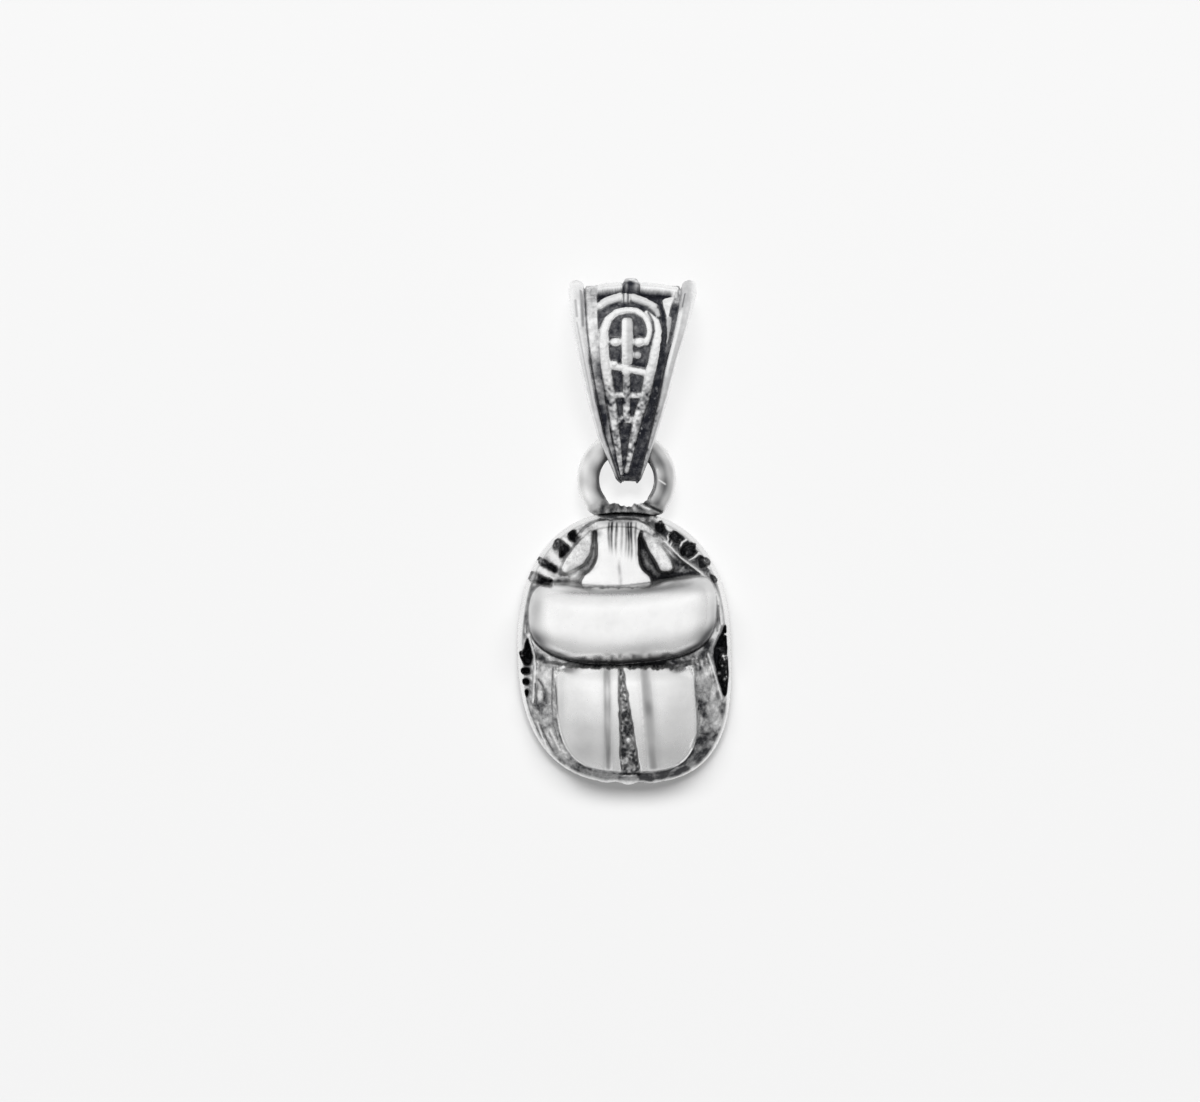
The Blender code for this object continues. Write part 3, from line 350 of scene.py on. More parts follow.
# Fineness of the lines and meshes.
LOOP_STEPS = 6
PLAN_STEPS = 360
EDGE_STEPS = 1440
RUN_STEPS = 4000
PLATE_REACH = (7.6, 9.6)
PLATE_STEP = 0.04
SOFTENING = 0.042
SCARAB_GRID = 292
SIDE_ROWS = 7
RING_GRID = (340, 44)
BAIL_ROW_STEP = 0.052
BAIL_BACK_STEP = 0.2
BAIL_COLUMNS = 168
HOLE_COLUMNS = 10

# Table, light and camera, in metres and watts, with the lens and its sensor in millimetres.
TABLE_HALF = 1.5
TABLE_GREY = 0.8
TABLE_GLOW = 0.4
GLOW_SHARE = 0.62
TENT_WHITE = 1.06
TENT_GREY = 0.08
LAMP_SPOT = (0.0, 0.95, 1.7)
STRONG_LAMP = ((2.4, 0.7), 90.0)
WEAK_LAMP = ((0.7, 0.5), 20.0)
CAMERA_SPOT = (-0.0016, 0.00653, 0.8)
LENS_LENGTH = 360.0
SENSOR_WIDTH = 36.0
NEAREST_SEEN = 0.05


# Lines and plans

def smooth_loop(corners):
    """A closed Catmull-Rom line through the corners."""
    points = np.array(corners, dtype=float)
    before = np.roll(points, 1, axis=0)
    after = np.roll(points, -1, axis=0)
    beyond = np.roll(points, -2, axis=0)
    steps = []
    for k in range(LOOP_STEPS):
        t = k / LOOP_STEPS
        steps.append(0.5 * (2 * points + (after - before) * t
                            + (2 * before - 5 * points + 4 * after - beyond) * t ** 2
                            + (3 * points - before - 3 * after + beyond) * t ** 3))
    return np.stack(steps, axis=1).reshape(-1, 2)


def distance_to(line, x, y):
    """Distance to an open line through the points."""
    nearest = np.full(x.shape, 1e9)
    for (ax, ay), (bx, by) in zip(line[:-1], line[1:]):
        dx, dy = bx - ax, by - ay
        along = np.clip(((x - ax) * dx + (y - ay) * dy) / (dx * dx + dy * dy + 1e-12), 0, 1)
        nearest = np.minimum(nearest, np.hypot(x - ax - along * dx, y - ay - along * dy))
    return nearest


def depth_inside(loop, x, y):
    """Distance to a closed loop, positive inside it and negative outside."""
    inside = np.zeros(x.shape, dtype=bool)
    for (ax, ay), (bx, by) in zip(loop, np.roll(loop, -1, axis=0)):
        crosses = (ay > y) != (by > y)
        slope = (bx - ax) / ((by - ay) if by != ay else 1e-12)
        inside ^= crosses & (x < ax + (y - ay) * slope)
    nearest = distance_to(np.vstack([loop, loop[:1]]), x, y)
    return np.where(inside, nearest, -nearest)


def ramp(value, low, high):
    """0 below low and 1 above high, with a soft turn at both."""
    share = np.clip((value - low) / (high - low), 0, 1)
    return share * share * (3 - 2 * share)


def hill(distance, half):
    """1 where the distance is 0 and softly down to 0 beyond that half width."""
    return np.exp(-(distance / half) ** 2)


def oval(x, y, spot, half_x, half_y, turn=0.0, power=2.0):
    """1 in the middle of a turned oval and softly down to 0 beyond its edge."""
    c, s = math.cos(math.radians(turn)), math.sin(math.radians(turn))
    u = ((x - spot[0]) * c + (y - spot[1]) * s) / half_x
    v = ((y - spot[1]) * c - (x - spot[0]) * s) / half_y
    return np.exp(-(u * u + v * v) ** power)


def between(value, pairs):
    """The second of the pairs, read along straight lines at a value of the first."""
    return np.interp(value, *zip(*pairs))


def most(*shares):
    """The largest of them at every place."""
    return np.maximum.reduce(shares)


def mixed(first, second, share):
    """Between two values, by the share of the second."""
    return first * (1 - share) + second * share


def drift(y):
    """The rear half leans a little to the right."""
    return REAR_DRIFT * np.clip(-y / REAR_LENGTH, 0, 1) ** DRIFT_POWER


def scarab_outline(steps):
    """Plan outline of the casting, with the small wave along its rear edge."""
    turn = 2 * np.pi * np.arange(steps) / steps
    c, s = np.cos(turn), np.sin(turn)
    power = np.where(s >= 0, FRONT_POWER, REAR_POWER)
    length = np.where(s >= 0, FRONT_LENGTH, REAR_LENGTH)
    x = HALF_WIDTH * np.sign(c) * np.abs(c) ** (2 / power)
    y = length * np.sign(s) * np.abs(s) ** (2 / power)
    x = x + drift(y)
    off = x - REAR_CUSP_X
    wave = REAR_WAVE * np.cos(2 * np.pi * off / REAR_WAVE_PITCH) * hill(off, REAR_WAVE_REACH)
    y = np.maximum(y - wave * (y < -REAR_LENGTH / 2), REAR_LIMIT)
    return np.stack([x, y], axis=1) * EDGE_TRIM


def front_edge():
    """The scarab's front edge as x and y, for the ring to end on."""
    outline = scarab_outline(EDGE_STEPS)
    front = outline[outline[:, 1] > 0]
    front = front[np.argsort(front[:, 0])]
    return front[:, 0], front[:, 1] / EDGE_TRIM


def pronotum_line(x):
    """The pronotum's bent midline: its y at x."""
    return PRONOTUM_CENTRE[1] + PRONOTUM_BEND * x ** 2 + PRONOTUM_SLANT * x


def pronotum_half(across, behind):
    """Half length of the pronotum at a place across it, shorter behind its midline on the left."""
    return PRONOTUM_HALF[1] * (1 - PRONOTUM_LEFT_EASE * behind * np.clip(-across, 0, 1) ** 2)


def pronotum_plan(x, y):
    """0 at the middle of the pronotum and 1 on its edge."""
    across = (x - PRONOTUM_CENTRE[0]) / PRONOTUM_HALF[0]
    line = pronotum_line(x)
    along = (y - line) / pronotum_half(across, y < line)
    reach = np.abs(across) ** PRONOTUM_POWERS[0] + np.abs(along) ** PRONOTUM_POWERS[1]
    return reach ** (1 / PRONOTUM_ROUNDING)


def pronotum_loop(steps=240):
    """The pronotum's outline in the plan."""
    turn = 2 * np.pi * np.arange(steps) / steps
    c, s = np.cos(turn), np.sin(turn)
    across = np.sign(c) * (c * c) ** (1 / PRONOTUM_POWERS[0])
    x = PRONOTUM_CENTRE[0] + PRONOTUM_HALF[0] * across
    half = pronotum_half(across, s < 0)
    y = pronotum_line(x) + half * np.sign(s) * (s * s) ** (1 / PRONOTUM_POWERS[1])
    return np.stack([x, y], axis=1)


def wing_loop(steps=60):
    """Both wing cases together: a straight front edge and a rounded rear."""
    turn = np.pi * np.arange(steps + 1) / steps
    x = WING_HALF_WIDTH * np.sign(np.cos(turn)) * np.abs(np.cos(turn)) ** (2 / WING_POWER)
    y = WING_BEND_Y - WING_REAR * np.sin(turn) ** (2 / WING_POWER)
    rear = np.stack([x + drift(y), y], axis=1)
    return np.vstack([rear, [(-WING_HALF_WIDTH, WING_FRONT), (WING_HALF_WIDTH, WING_FRONT)]])


def wing_line(ends, y):
    """x of a line that runs down the wing cases, at the height y in the plan."""
    return ends[0] + (ends[1] - ends[0]) * np.clip((WING_FRONT - y) / WING_LENGTH, 0, 1)


def border_place(x, y, angle, inset, half_width, half_length):
    """How far a place is along and across a mark on the front border, in halves of its size."""
    halves = np.array([HALF_WIDTH, FRONT_LENGTH])
    ray = np.array([math.sin(math.radians(angle)), math.cos(math.radians(angle))])
    edge = ray * np.sum(np.abs(ray / halves) ** FRONT_POWER) ** (-1 / FRONT_POWER)
    out = np.sign(edge) * np.abs(edge / halves) ** (FRONT_POWER - 1) / halves
    out /= np.linalg.norm(out)
    middle = edge - out * inset
    along = ((x - middle[0]) * out[1] - (y - middle[1]) * out[0]) / half_width
    across = ((x - middle[0]) * out[0] + (y - middle[1]) * out[1]) / half_length
    return along, across


# Heights on a regular plate of points

class Plate:
    """A regular grid of points over a flat area, for values that are blurred and then sampled."""

    def __init__(self, low, high, step):
        self.low, self.step = low, step
        across = np.arange(low[0], high[0], step)
        along = np.arange(low[1], high[1], step)
        self.x, self.y = np.meshgrid(across, along)
        wave_x = np.fft.rfftfreq(self.x.shape[1], step)
        wave_y = np.fft.fftfreq(self.x.shape[0], step)
        self.waves = wave_y[:, None] ** 2 + wave_x[None, :] ** 2

    def blur(self, values, radius):
        """Softened over about that radius."""
        kernel = np.exp(-2 * (np.pi * radius) ** 2 * self.waves)
        return np.fft.irfft2(np.fft.rfft2(values) * kernel, s=values.shape)

    def grain(self, size, seed):
        """Smooth unevenness with lumps of about that size, around 0 and mostly within 1."""
        rough = np.random.default_rng(seed).normal(size=self.x.shape)
        rough = self.blur(rough, size / 2)
        return rough / (2 * rough.std())

    def sample(self, values, x, y):
        """The values at any points, by straight lines between the grid's own."""
        u = np.clip((x - self.low[0]) / self.step, 0, self.x.shape[1] - 1.001)
        v = np.clip((y - self.low[1]) / self.step, 0, self.x.shape[0] - 1.001)
        i, j = u.astype(int), v.astype(int)
        a, b = u - i, v - j
        return mixed(mixed(values[j, i], values[j, i + 1], a),
                     mixed(values[j + 1, i], values[j + 1, i + 1], a), b)


def flutes(x, y):
    """1 along the middle of each flute on the head plate."""
    lines = np.zeros(x.shape)
    for k in range(FLUTES):
        place = FLUTE_CENTRE_X + FLUTE_PITCH * (k - (FLUTES - 1) / 2) + 0.09 * math.sin(5 * k)
        end = FLUTE_REAR_Y + FLUTE_REAR_SPREAD * math.sin(3.1 * k + 1) ** 2
        bend = 0.03 * np.sin(2.2 * y + k)
        along = (0.5 + 0.5 * ramp(y, 6.4, 8.0)) * ramp(y, end, end + 1.0) * (1 - ramp(y, *FLUTE_FRONT))
        strength = 0.72 + 0.28 * math.sin(7.7 * k)
        lines = np.maximum(lines, strength * hill(x - place - bend, FLUTE_HALF_WIDTH) * along)
    return lines


def head_top(x, y):
    """The head plate slopes to the front, fluted there and creased down its middle."""
    along = np.clip((y - HEAD_REAR_Y) / HEAD_LENGTH, 0, 1)
    top = HEAD_REAR_TOP - HEAD_FALL * along - HEAD_CROWN * (x - HEAD_CENTRE_X) ** 2
    crease = hill(x - CREASE_X, CREASE_HALF_WIDTH) * (1 - ramp(y, 5.6, 6.4))
    return top - FLUTE_DEPTH * flutes(x, y) - CREASE_DEPTH * crease


def wing_grooves(x, y):
    """How far a place is into the groove beside each inner ridge, 0 to 1."""
    deep = np.zeros(x.shape)
    for inner, outer in ((RIDGE_LEFT, GROOVE_LEFT), (RIDGE_RIGHT, GROOVE_RIGHT)):
        low, high = sorted((wing_line(inner, y), wing_line(outer, y)), key=np.mean)
        deep = np.maximum(deep, np.sin(np.pi * np.clip((x - low) / (high - low), 0, 1)))
    return deep


def groove_shade(x, y):
    """Painted shade along both grooves, wider than the grooves themselves."""
    return most(*(hill(x - wing_line(ends, y), half) for ends, half in GROOVE_SHADES))


def wing_top(x, y):
    """Two wing cases with a groove beside each inner ridge."""
    back = np.clip((WING_FRONT - y) / WING_LENGTH, 0, 1)
    across = np.abs((x - drift(y)) / WING_HALF_WIDTH)
    top = WING_TOP - WING_DROP * back ** WING_DROP_POWER - WING_CROSS_DROP * across ** WING_CROSS_POWER
    top = top - WING_ROLL_DROP * np.clip(1 - back / WING_ROLL, 0, 1) ** 2 - WING_TRIM
    top = top - GROOVE_DEPTH * wing_grooves(x, y)
    for low, high in ((RIDGE_LEFT, SUTURE_LEFT), (SUTURE_RIGHT, RIDGE_RIGHT)):
        place = np.clip((x - wing_line(low, y)) / (wing_line(high, y) - wing_line(low, y)), 0, 1)
        top = top - RIDGE_ROUNDING * np.abs(2 * place - 1) ** 2 * ((place > 0) & (place < 1))
    return top


class ScarabRelief:
    """Height, tarnish with painted shade, and polish of the scarab's carved face, on a regular plate."""

    def __init__(self):
        self.plate = plate = Plate((-PLATE_REACH[0], -PLATE_REACH[1]), PLATE_REACH, PLATE_STEP)
        self.x, self.y = plate.x, plate.y
        self.fine, self.small, self.broad = [
            plate.grain(*grain) for grain in (FINE_GRAIN, SMALL_GRAIN, BROAD_GRAIN)]
        self.mottle = 0.16 * self.small + 0.10 * self.fine + 0.10 * self.broad
        self.measure_forms()
        self.slope_ground()
        self.raise_forms()
        self.cut_lines()
        self.sink_border()
        self.round_edge()
        self.height = plate.blur(self.top, SOFTENING)
        self.read_surface()
        tarnish_and_painted_light = self.blacken_hollows(self.ground_tarnish())
        tarnish_and_painted_light = mixed(tarnish_and_painted_light, self.painted_shade_and_wear(), self.polished)
        tarnish_and_painted_light = self.tarnish_border_and_shade_flanks(tarnish_and_painted_light)
        self.tarnish_and_painted_light = np.clip(tarnish_and_painted_light, 0, 1)
        self.polish = np.clip(np.maximum(self.polished, self.rim) * (1 - self.solder), 0, 1)

    def measure_forms(self):
        """How far every place is inside each form, and where the ground between them lies."""
        x, y, fine, small = self.x, self.y, self.fine, self.small
        self.edge = depth_inside(scarab_outline(PLAN_STEPS), x, y)
        self.head = depth_inside(smooth_loop(HEAD_CORNERS), x, y) + 0.05 * fine * (y < 5)
        self.lobes = [depth_inside(smooth_loop(corners), x, y) + 0.05 * small
                      for corners in (LEFT_LOBE_CORNERS, RIGHT_LOBE_CORNERS)]
        self.off_lobes = np.all([lobe < 0 for lobe in self.lobes], axis=0)
        self.to_yoke = distance_to(YOKE, x, y)
        self.yoke = 1 - ramp(self.to_yoke + 0.03 * small, YOKE_HALF_WIDTH * 0.75, YOKE_HALF_WIDTH)
        self.pronotum = depth_inside(pronotum_loop(), x, y)
        notches = WING_NOTCH * np.abs(self.plate.grain(*NOTCH_GRAIN)) * ramp(y, -1.9, -1.2)
        self.wings = depth_inside(wing_loop(), x, y) - notches
        self.forms = most(self.head, *self.lobes, self.pronotum, self.wings)
        self.outside = np.maximum(-self.forms, 0)
        self.inset = np.maximum(self.edge - RIM_WIDTH, 0)

        self.rear_share, behind = ramp(-y, 1.5, 4.5), ramp(-y, -0.6, 0.2)
        self.ground = (ramp(self.outside, 0.02, 0.1) * ramp(self.inset + 0.2 * self.rear_share, 0.1, 0.3)
                       * (self.edge > 0.1))
        self.sides = self.ground * behind
        self.field = self.ground * (1 - behind)

    def slope_ground(self):
        """The ground between the rim and the forms, with its grain, leg ridges and lumps."""
        x, y, fine, small, broad = self.x, self.y, self.fine, self.small, self.broad
        share = self.inset / (self.inset + self.outside + 1e-9)
        top = RIM_TOP + (between(y, CORE_LEVELS) - RIM_TOP) * share ** SLOPE_POWER
        top = (top + self.sides * (0.09 * small + 0.12 * broad + 0.04 * fine)
               + self.field * (0.07 * small + 0.03 * fine))
        stripes = np.sin(2 * np.pi * (x + 0.15 * y) / STRIPE_PITCH)
        self.stripes = stripes * oval(x, y, STRIPE_SPOT, *STRIPE_HALVES)
        top = top + STRIPE_RISE * self.stripes * self.ground
        self.ridges = np.zeros(x.shape)
        for line, half, rise in RIDGES:
            ridge = hill(distance_to(line, x, y), half) * (self.outside > 0)
            self.ridges = np.maximum(self.ridges, ridge)
            top = top + rise * ridge
        for *place, rise in LUMPS:
            top = top + rise * oval(x, y, *place) * (self.outside > 0)
        self.top = top

    def raise_forms(self):
        """The head plate, lobes, yoke, pronotum and wing cases over the ground."""
        x, y, top = self.x, self.y, self.top
        top = np.where(self.head > 0, np.maximum(top, head_top(x, y)), top)
        for lobe in self.lobes:
            raised = LOBE_TOP + LOBE_CROWN * np.sqrt(np.clip(lobe / LOBE_HALF, 0, 1)) + 0.03 * self.small
            top = np.where(lobe > 0, np.maximum(top, raised), top)
        top = np.maximum(top, self.yoke * YOKE_TOP)
        plan = np.clip(pronotum_plan(x, y), 0, 1)
        forward = np.clip((y - PRONOTUM_CENTRE[1]) / PRONOTUM_HALF[1], -1, 1) / 2 + 0.5
        low = PRONOTUM_REAR_EDGE + (PRONOTUM_FRONT_EDGE - PRONOTUM_REAR_EDGE) * forward
        bean = low + (PRONOTUM_TOP - low) * np.sqrt(1 - plan ** PRONOTUM_CROWN_POWER)
        top = np.where(self.pronotum > 0, np.maximum(top, bean), top)
        self.top = np.where(self.wings > 0, wing_top(x, y), top)

    def cut_lines(self):
        """The seam between the wing cases, the furrow round the pronotum's rear, the cut lines."""
        x, y, wings, pronotum = self.x, self.y, self.wings, self.pronotum
        self.into_seam = np.minimum(x - wing_line(SUTURE_LEFT, y), wing_line(SUTURE_RIGHT, y) - x)
        self.by_wings = (wings > -0.2) * (y < WING_FRONT)
        self.suture = ramp(self.into_seam + 0.05 * self.small, -0.05, 0.08) * self.by_wings
        beads = sum(rise * oval(x, y, *place) for *place, rise, _ in SUTURE_BEADS)
        top = self.top - self.suture * (SUTURE_DEPTH - 0.09 * self.fine - 0.12 * self.small - beads)
        behind = ramp(-(y - 1.6), 0.0, 1.2) * (pronotum <= 0) * (wings < 0)
        self.furrow = hill(np.minimum(pronotum, 0), FURROW_HALF_WIDTH) * behind
        top = top - FURROW_DEPTH * self.furrow
        self.cuts = np.zeros(x.shape)
        for line, half, depth, shade in CUTS:
            cut = hill(distance_to(line, x, y), half)
            top = top - depth * cut
            self.cuts = np.maximum(self.cuts, cut * shade)
        self.top = top

    def sink_border(self):
        """Slots, pits and hollows, with the teeth, crests and beads that stand between them."""
        x, y, fine, small, top = self.x, self.y, self.fine, self.small, self.top
        pits, lips, teeth, beads = [np.zeros(x.shape) for _ in range(4)]
        self.pit_shade, self.bead_shade = np.ones(x.shape), np.zeros(x.shape)
        for marks in (LEFT_SLOTS, RIGHT_PITS):
            for *place, shade in marks:
                along, across = border_place(x, y, *place)
                if marks is LEFT_SLOTS:
                    square = (np.abs(along) ** 3 + np.abs(across) ** 3) ** (1 / 3)
                    pit = 1 - ramp(square + 0.3 * small + 0.16 * fine, 0.75, 1.15)
                else:
                    away = np.hypot(along, across) + 0.42 * small + 0.2 * fine
                    pit = 1 - ramp(away, 0.75, 1.05)
                    lips = np.maximum(lips, hill(away - 1.3, 0.2))
                self.pit_shade = np.where(pit > pits, shade, self.pit_shade)
                pits = np.maximum(pits, pit)
        for tooth in TEETH:
            teeth = np.maximum(teeth, oval(x, y, *tooth))
        for line, half in CRESTS:
            teeth = np.maximum(teeth, np.exp(-(distance_to(line, x, y) / half) ** 4))
        for spot, half, shade in HOLLOW_BEADS:
            bead = oval(x, y, spot, half, half)
            self.bead_shade = np.where(bead > beads, shade, self.bead_shade)
            beads = np.maximum(beads, bead)
        hollows = most(*(ramp(depth_inside(smooth_loop(loop), x, y) + 0.04 * small, 0.0, 0.08)
                         for loop in (*LEFT_HOLLOWS, RIGHT_HOLLOW)))
        self.lips, self.beads = lips, beads
        self.teeth = teeth * (self.edge > 0.2) * (self.forms < 0.05)
        self.hollows = hollows * (1 - 0.8 * beads)
        self.deep = np.maximum(pits * (1 - self.teeth), self.hollows)
        top = top + LIP_RISE * lips * self.field
        floor = FLOOR + 0.2 * small + 0.14 * fine
        top = top + (floor - top) * self.deep * np.where(self.hollows > 0.5, 1.0, PIT_DEPTH_SHARE)
        self.top = top + TOOTH_RISE * self.teeth

    def round_edge(self):
        """The solder at the front and the rolled outer edge."""
        edge, top = self.edge, self.top
        spread = np.hypot((self.x - SOLDER_CENTRE[0]) / SOLDER_HALF[0],
                          (self.y - SOLDER_CENTRE[1]) / SOLDER_HALF[1])
        self.solder = solder = 1 - ramp(spread + 0.1 * self.small, 0.8, 1.0)
        top = np.where(solder > 0, top + (np.maximum(top, SOLDER_TOP) - top) * solder, top)
        top = top + 0.1 * solder * self.small
        rolled = np.clip(1 - edge / RIM_ROUNDING, 0, 1)
        self.top = np.where(edge > 0, top - RIM_FALL * rolled ** 2, RIM_TOP - RIM_FALL)

    def read_surface(self):
        """Where the relief is steep, hollow, polished or part of the bright rim."""
        x, y, edge, blur = self.x, self.y, self.edge, self.plate.blur
        slope = np.hypot(*np.gradient(self.height, PLATE_STEP))
        # Painted shade on steep flanks, darker the steeper they are, weaker on ridges, teeth, polished
        # forms, the seam and by the lobes.
        steep = ramp(blur(slope, 0.03), 1.0, 2.8) * (edge > 0.25) * (1 - 0.8 * self.ridges)
        self.crevice = np.clip((blur(self.top, 0.25) - self.height - 0.03) / 0.3, 0, 1)
        # Painted shade at the foot of raised forms, where a broadly blurred relief stands above the
        # place.
        self.foot = np.clip((blur(self.top, 0.7) - self.height) / 0.9, 0, 1)
        self.rim = (1 - ramp(edge + 0.22 * self.rear_share, 0.26, 0.42)) * (1 - 0.85 * self.solder)
        self.by_lobe = most(*(oval(x, y, *place) for place in PALE_BY_LOBES))
        self.seam_edge = hill(self.into_seam, 0.12) * self.by_wings

        on_pronotum = ramp(self.pronotum, 0.0, 0.05)
        on_wings = ramp(self.wings, 0.0, 0.06) * (1 - self.suture)
        self.polished = most(on_pronotum, on_wings, ramp(self.head, 0.0, 0.06))
        steep = steep * (1 - 0.95 * self.teeth) * (1 - 0.65 * on_pronotum) * (1 - 0.2 * on_wings)
        chips = hill(y + 1.25, 0.22) * (np.abs(x) < 4.7) * ramp(self.plate.grain(*CHIP_GRAIN), -0.3, 0.3)
        self.steep = (steep * (1 - 0.5 * self.suture) * (1 - 0.7 * self.by_lobe)
                      * (1 - 0.8 * chips) * (1 - 0.5 * self.seam_edge))

    def ground_tarnish(self):
        """Tarnish of the sides, the rear and the front border, with its patches, one of them painted
        shade.
        """
        x, y, mottle, sides, field = self.x, self.y, self.mottle, self.sides, self.field
        right = ramp(x, -1.0, 1.5)
        dark = sides * (0.34 + 0.22 * right) + sides * mottle * (1.3 + 0.5 * right)
        dark = dark + self.ground * ramp(-y, 6.6, 7.4) * (0.3 + 0.9 * mottle)
        below_wings = hill(self.outside - 0.1, 0.08) * (self.wings > -0.4) * ramp(-y, 4.6, 5.8)
        dark = dark + sides * below_wings * (0.35 + 0.5 * mottle) + sides * (0.3 * self.stripes)
        pitted, at_front = ramp(x, 0.8, 1.6), ramp(y, 3.2, 4.4)
        border = 0.38 + 0.24 * pitted + (0.9 + 0.5 * pitted) * mottle
        dark = np.maximum(dark, field * at_front * border)
        dark = dark + field * self.lips * ramp(x, 1.5, 2.2) * 0.3
        dark = np.maximum(dark, field * (1 - at_front) * 0.12)
        # One patch, by the pronotum's lower right corner, is painted shade.
        for *place, shade in PATCHES:
            patch = oval(x + 0.06 * self.small, y + 0.06 * self.fine, *place) * self.ground
            dark = dark + (shade + mottle * min(1.2, 4 * shade) - dark) * patch
        return self.tarnish_gaps(dark)

    def tarnish_gaps(self, dark):
        """The dark gaps between the head plate and the lobes."""
        x, y, head, (left_lobe, right_lobe) = self.x, self.y, self.head, self.lobes
        left = ramp(-left_lobe, 0.0, 0.05) * (left_lobe > -0.45) * (head > -0.45) * (y > 5.6)
        right = (ramp(-right_lobe, 0.0, 0.05) * ramp(-head, 0.0, 0.05) * (right_lobe > -1.0)
                 * (x > 0.9) * (x < 2.6) * (y > 5.0) * (y < 8.0) * (x < 0.9 + (8.3 - y) * 0.52))
        fading = 0.95 - 0.45 * hill(-head - 0.42, 0.2) * (y < 7.0)
        dark = np.maximum(dark, self.ground * left * (0.42 + 1.9 * self.mottle))
        return np.maximum(dark, self.ground * right * (fading + 0.9 * self.mottle))

    def blacken_hollows(self, dark):
        """Crevices, the seam, the furrow, the head's outline, the solder and the cut lines, with painted
        shade at the foot of raised forms.
        """
        x, y, mottle, head, teeth = self.x, self.y, self.mottle, self.head, self.teeth
        dark = dark * (1 - 0.85 * self.ridges) * (1 - teeth)
        # Patina in the crevices, and painted shade at the foot of the raised forms.
        hollow = (self.ground * (0.85 * self.crevice + 0.25 * self.foot) * (1 - 0.7 * self.ridges)
                  * (1 - teeth) * (1 - 0.6 * self.by_lobe))
        rubbed = sum(share * oval(x, y, *place) for *place, _, share in SUTURE_BEADS)
        seam = (0.42 - 0.16 * self.seam_edge + 0.34 * ramp(-y, 2.0, 5.5) + 0.42 * self.fine
                + 0.24 * self.small - 0.95 * np.clip(rubbed, 0, 0.65))
        outline = hill(np.minimum(head, 0), 0.07) * (head < 0) * (y < 6.2)
        return most(dark, hollow, self.suture * np.clip(seam, 0, 0.95),
                    self.furrow * (0.72 + 0.5 * mottle), outline * (0.8 + 0.6 * mottle),
                    self.solder * np.clip(0.62 + 1.5 * mottle, 0.1, 1),
                    self.cuts * (1 - np.clip(self.deep, 0, 1)))

    def painted_shade_and_wear(self):
        """Soft painted shade on the polished head plate, pronotum and wing cases, with the oxide in the
        head's flutes.
        """
        x, y, mottle, head, wings = self.x, self.y, self.mottle, self.head, self.wings
        # Painted shade: soft patches, and grey in and beside the grooves of the wing cases.
        shading = sum(shade * oval(x, y, *place, power=1.0) for *place, shade in PAINTED_SHADES)
        shading = np.clip(shading, 0, 0.85)
        uneven, on_wings = 0.16 + 0.1 * self.broad * ramp(-y, 1.5, 3.0), ramp(wings, 0.0, 0.3)
        shading = np.maximum(shading, uneven * wing_grooves(x, y) ** 1.5 * on_wings)
        shading = shading + (0.24 + 0.1 * self.broad) * groove_shade(x, y) * on_wings

        on_head = head > 0
        # Mottled painted shade towards the head plate's edges, and mottled darkening over its front part.
        mottled_darkening = hill(np.maximum(head, 0), 0.2) * on_head * (0.16 + 1.3 * mottle)
        mottled_darkening = mottled_darkening + ramp(y, 6.8, 8.0) * on_head * (0.1 + 0.7 * mottle)
        # Painted shade along the crease, just below the head plate's rear edge, and at the edges of the
        # dome and the wing cases.
        crease = hill(x - CREASE_X + 0.06 * np.sin(2.5 * y), 0.11) * on_head * (1 - ramp(y, 5.4, 6.2))
        lip = hill(head + 0.05 + 0.06 * self.small, 0.075) * (y < 4.7) * (x > -3.0) * (x < 1.9)
        pronotum_edge = hill(np.maximum(self.pronotum, 0), 0.08) * (self.pronotum > 0)
        wing_edge = hill(np.maximum(wings, 0), 0.13) * (wings > 0) * (y < -1.8)
        # The black in the head's flutes is oxide in those grooves; the other terms are painted shade.
        return most(shading, (1.1 + 1.2 * mottle) * flutes(x, y) * on_head, mottled_darkening,
                    crease * (0.28 + 0.6 * mottle), lip * (0.68 + 0.8 * mottle),
                    0.3 * pronotum_edge, 0.34 * wing_edge)

    def tarnish_border_and_shade_flanks(self, dark):
        """The lobes, the yoke, painted shade on steep flanks, the bright rim and the deep pits."""
        x, y, mottle, edge, in_front = self.x, self.y, self.mottle, self.edge, self.head < 0
        for lobe in self.lobes:
            dark = mixed(dark, np.clip(0.13 + 0.9 * mottle, 0, 0.6), ramp(lobe, 0.0, 0.08))
        dark = mixed(dark, 0.2 + mottle, self.yoke * in_front * self.off_lobes)
        yoke_line = hill(self.to_yoke - YOKE_HALF_WIDTH, 0.07) * (y > 7.2) * in_front
        dark = np.maximum(dark, yoke_line * 0.75 * (edge > 0.3) * self.off_lobes)
        # Painted shade on steep flanks.
        dark = np.maximum(dark, self.steep * (0.66 + 0.6 * mottle))
        pale = oval(x, y, *PALE_GROUND) * (1 - self.polished)
        dark = dark * (1 - 0.6 * pale) + pale * 1.2 * mottle
        dark = mixed(dark, 0.05 + 0.45 * hill(edge - 0.36, 0.07) * ramp(y, 3.0, 4.5), self.rim)
        grains = ramp(self.fine + 0.3 * self.small, 0.3, 0.75)
        black = np.clip(np.where(self.hollows > 0.5, 0.94, self.pit_shade) + 0.9 * mottle, 0, 1)
        dark = np.maximum(dark, self.deep * black * (1 - self.rim * 0.3) * (1 - 0.8 * grains))
        on_bead = np.minimum(dark, self.bead_shade + 0.3 * (1 - self.beads))
        dark = np.where(self.beads > 0.3, on_bead, dark)
        return np.maximum(dark, self.solder * (edge < 0.3) * 0.85)


# Meshes

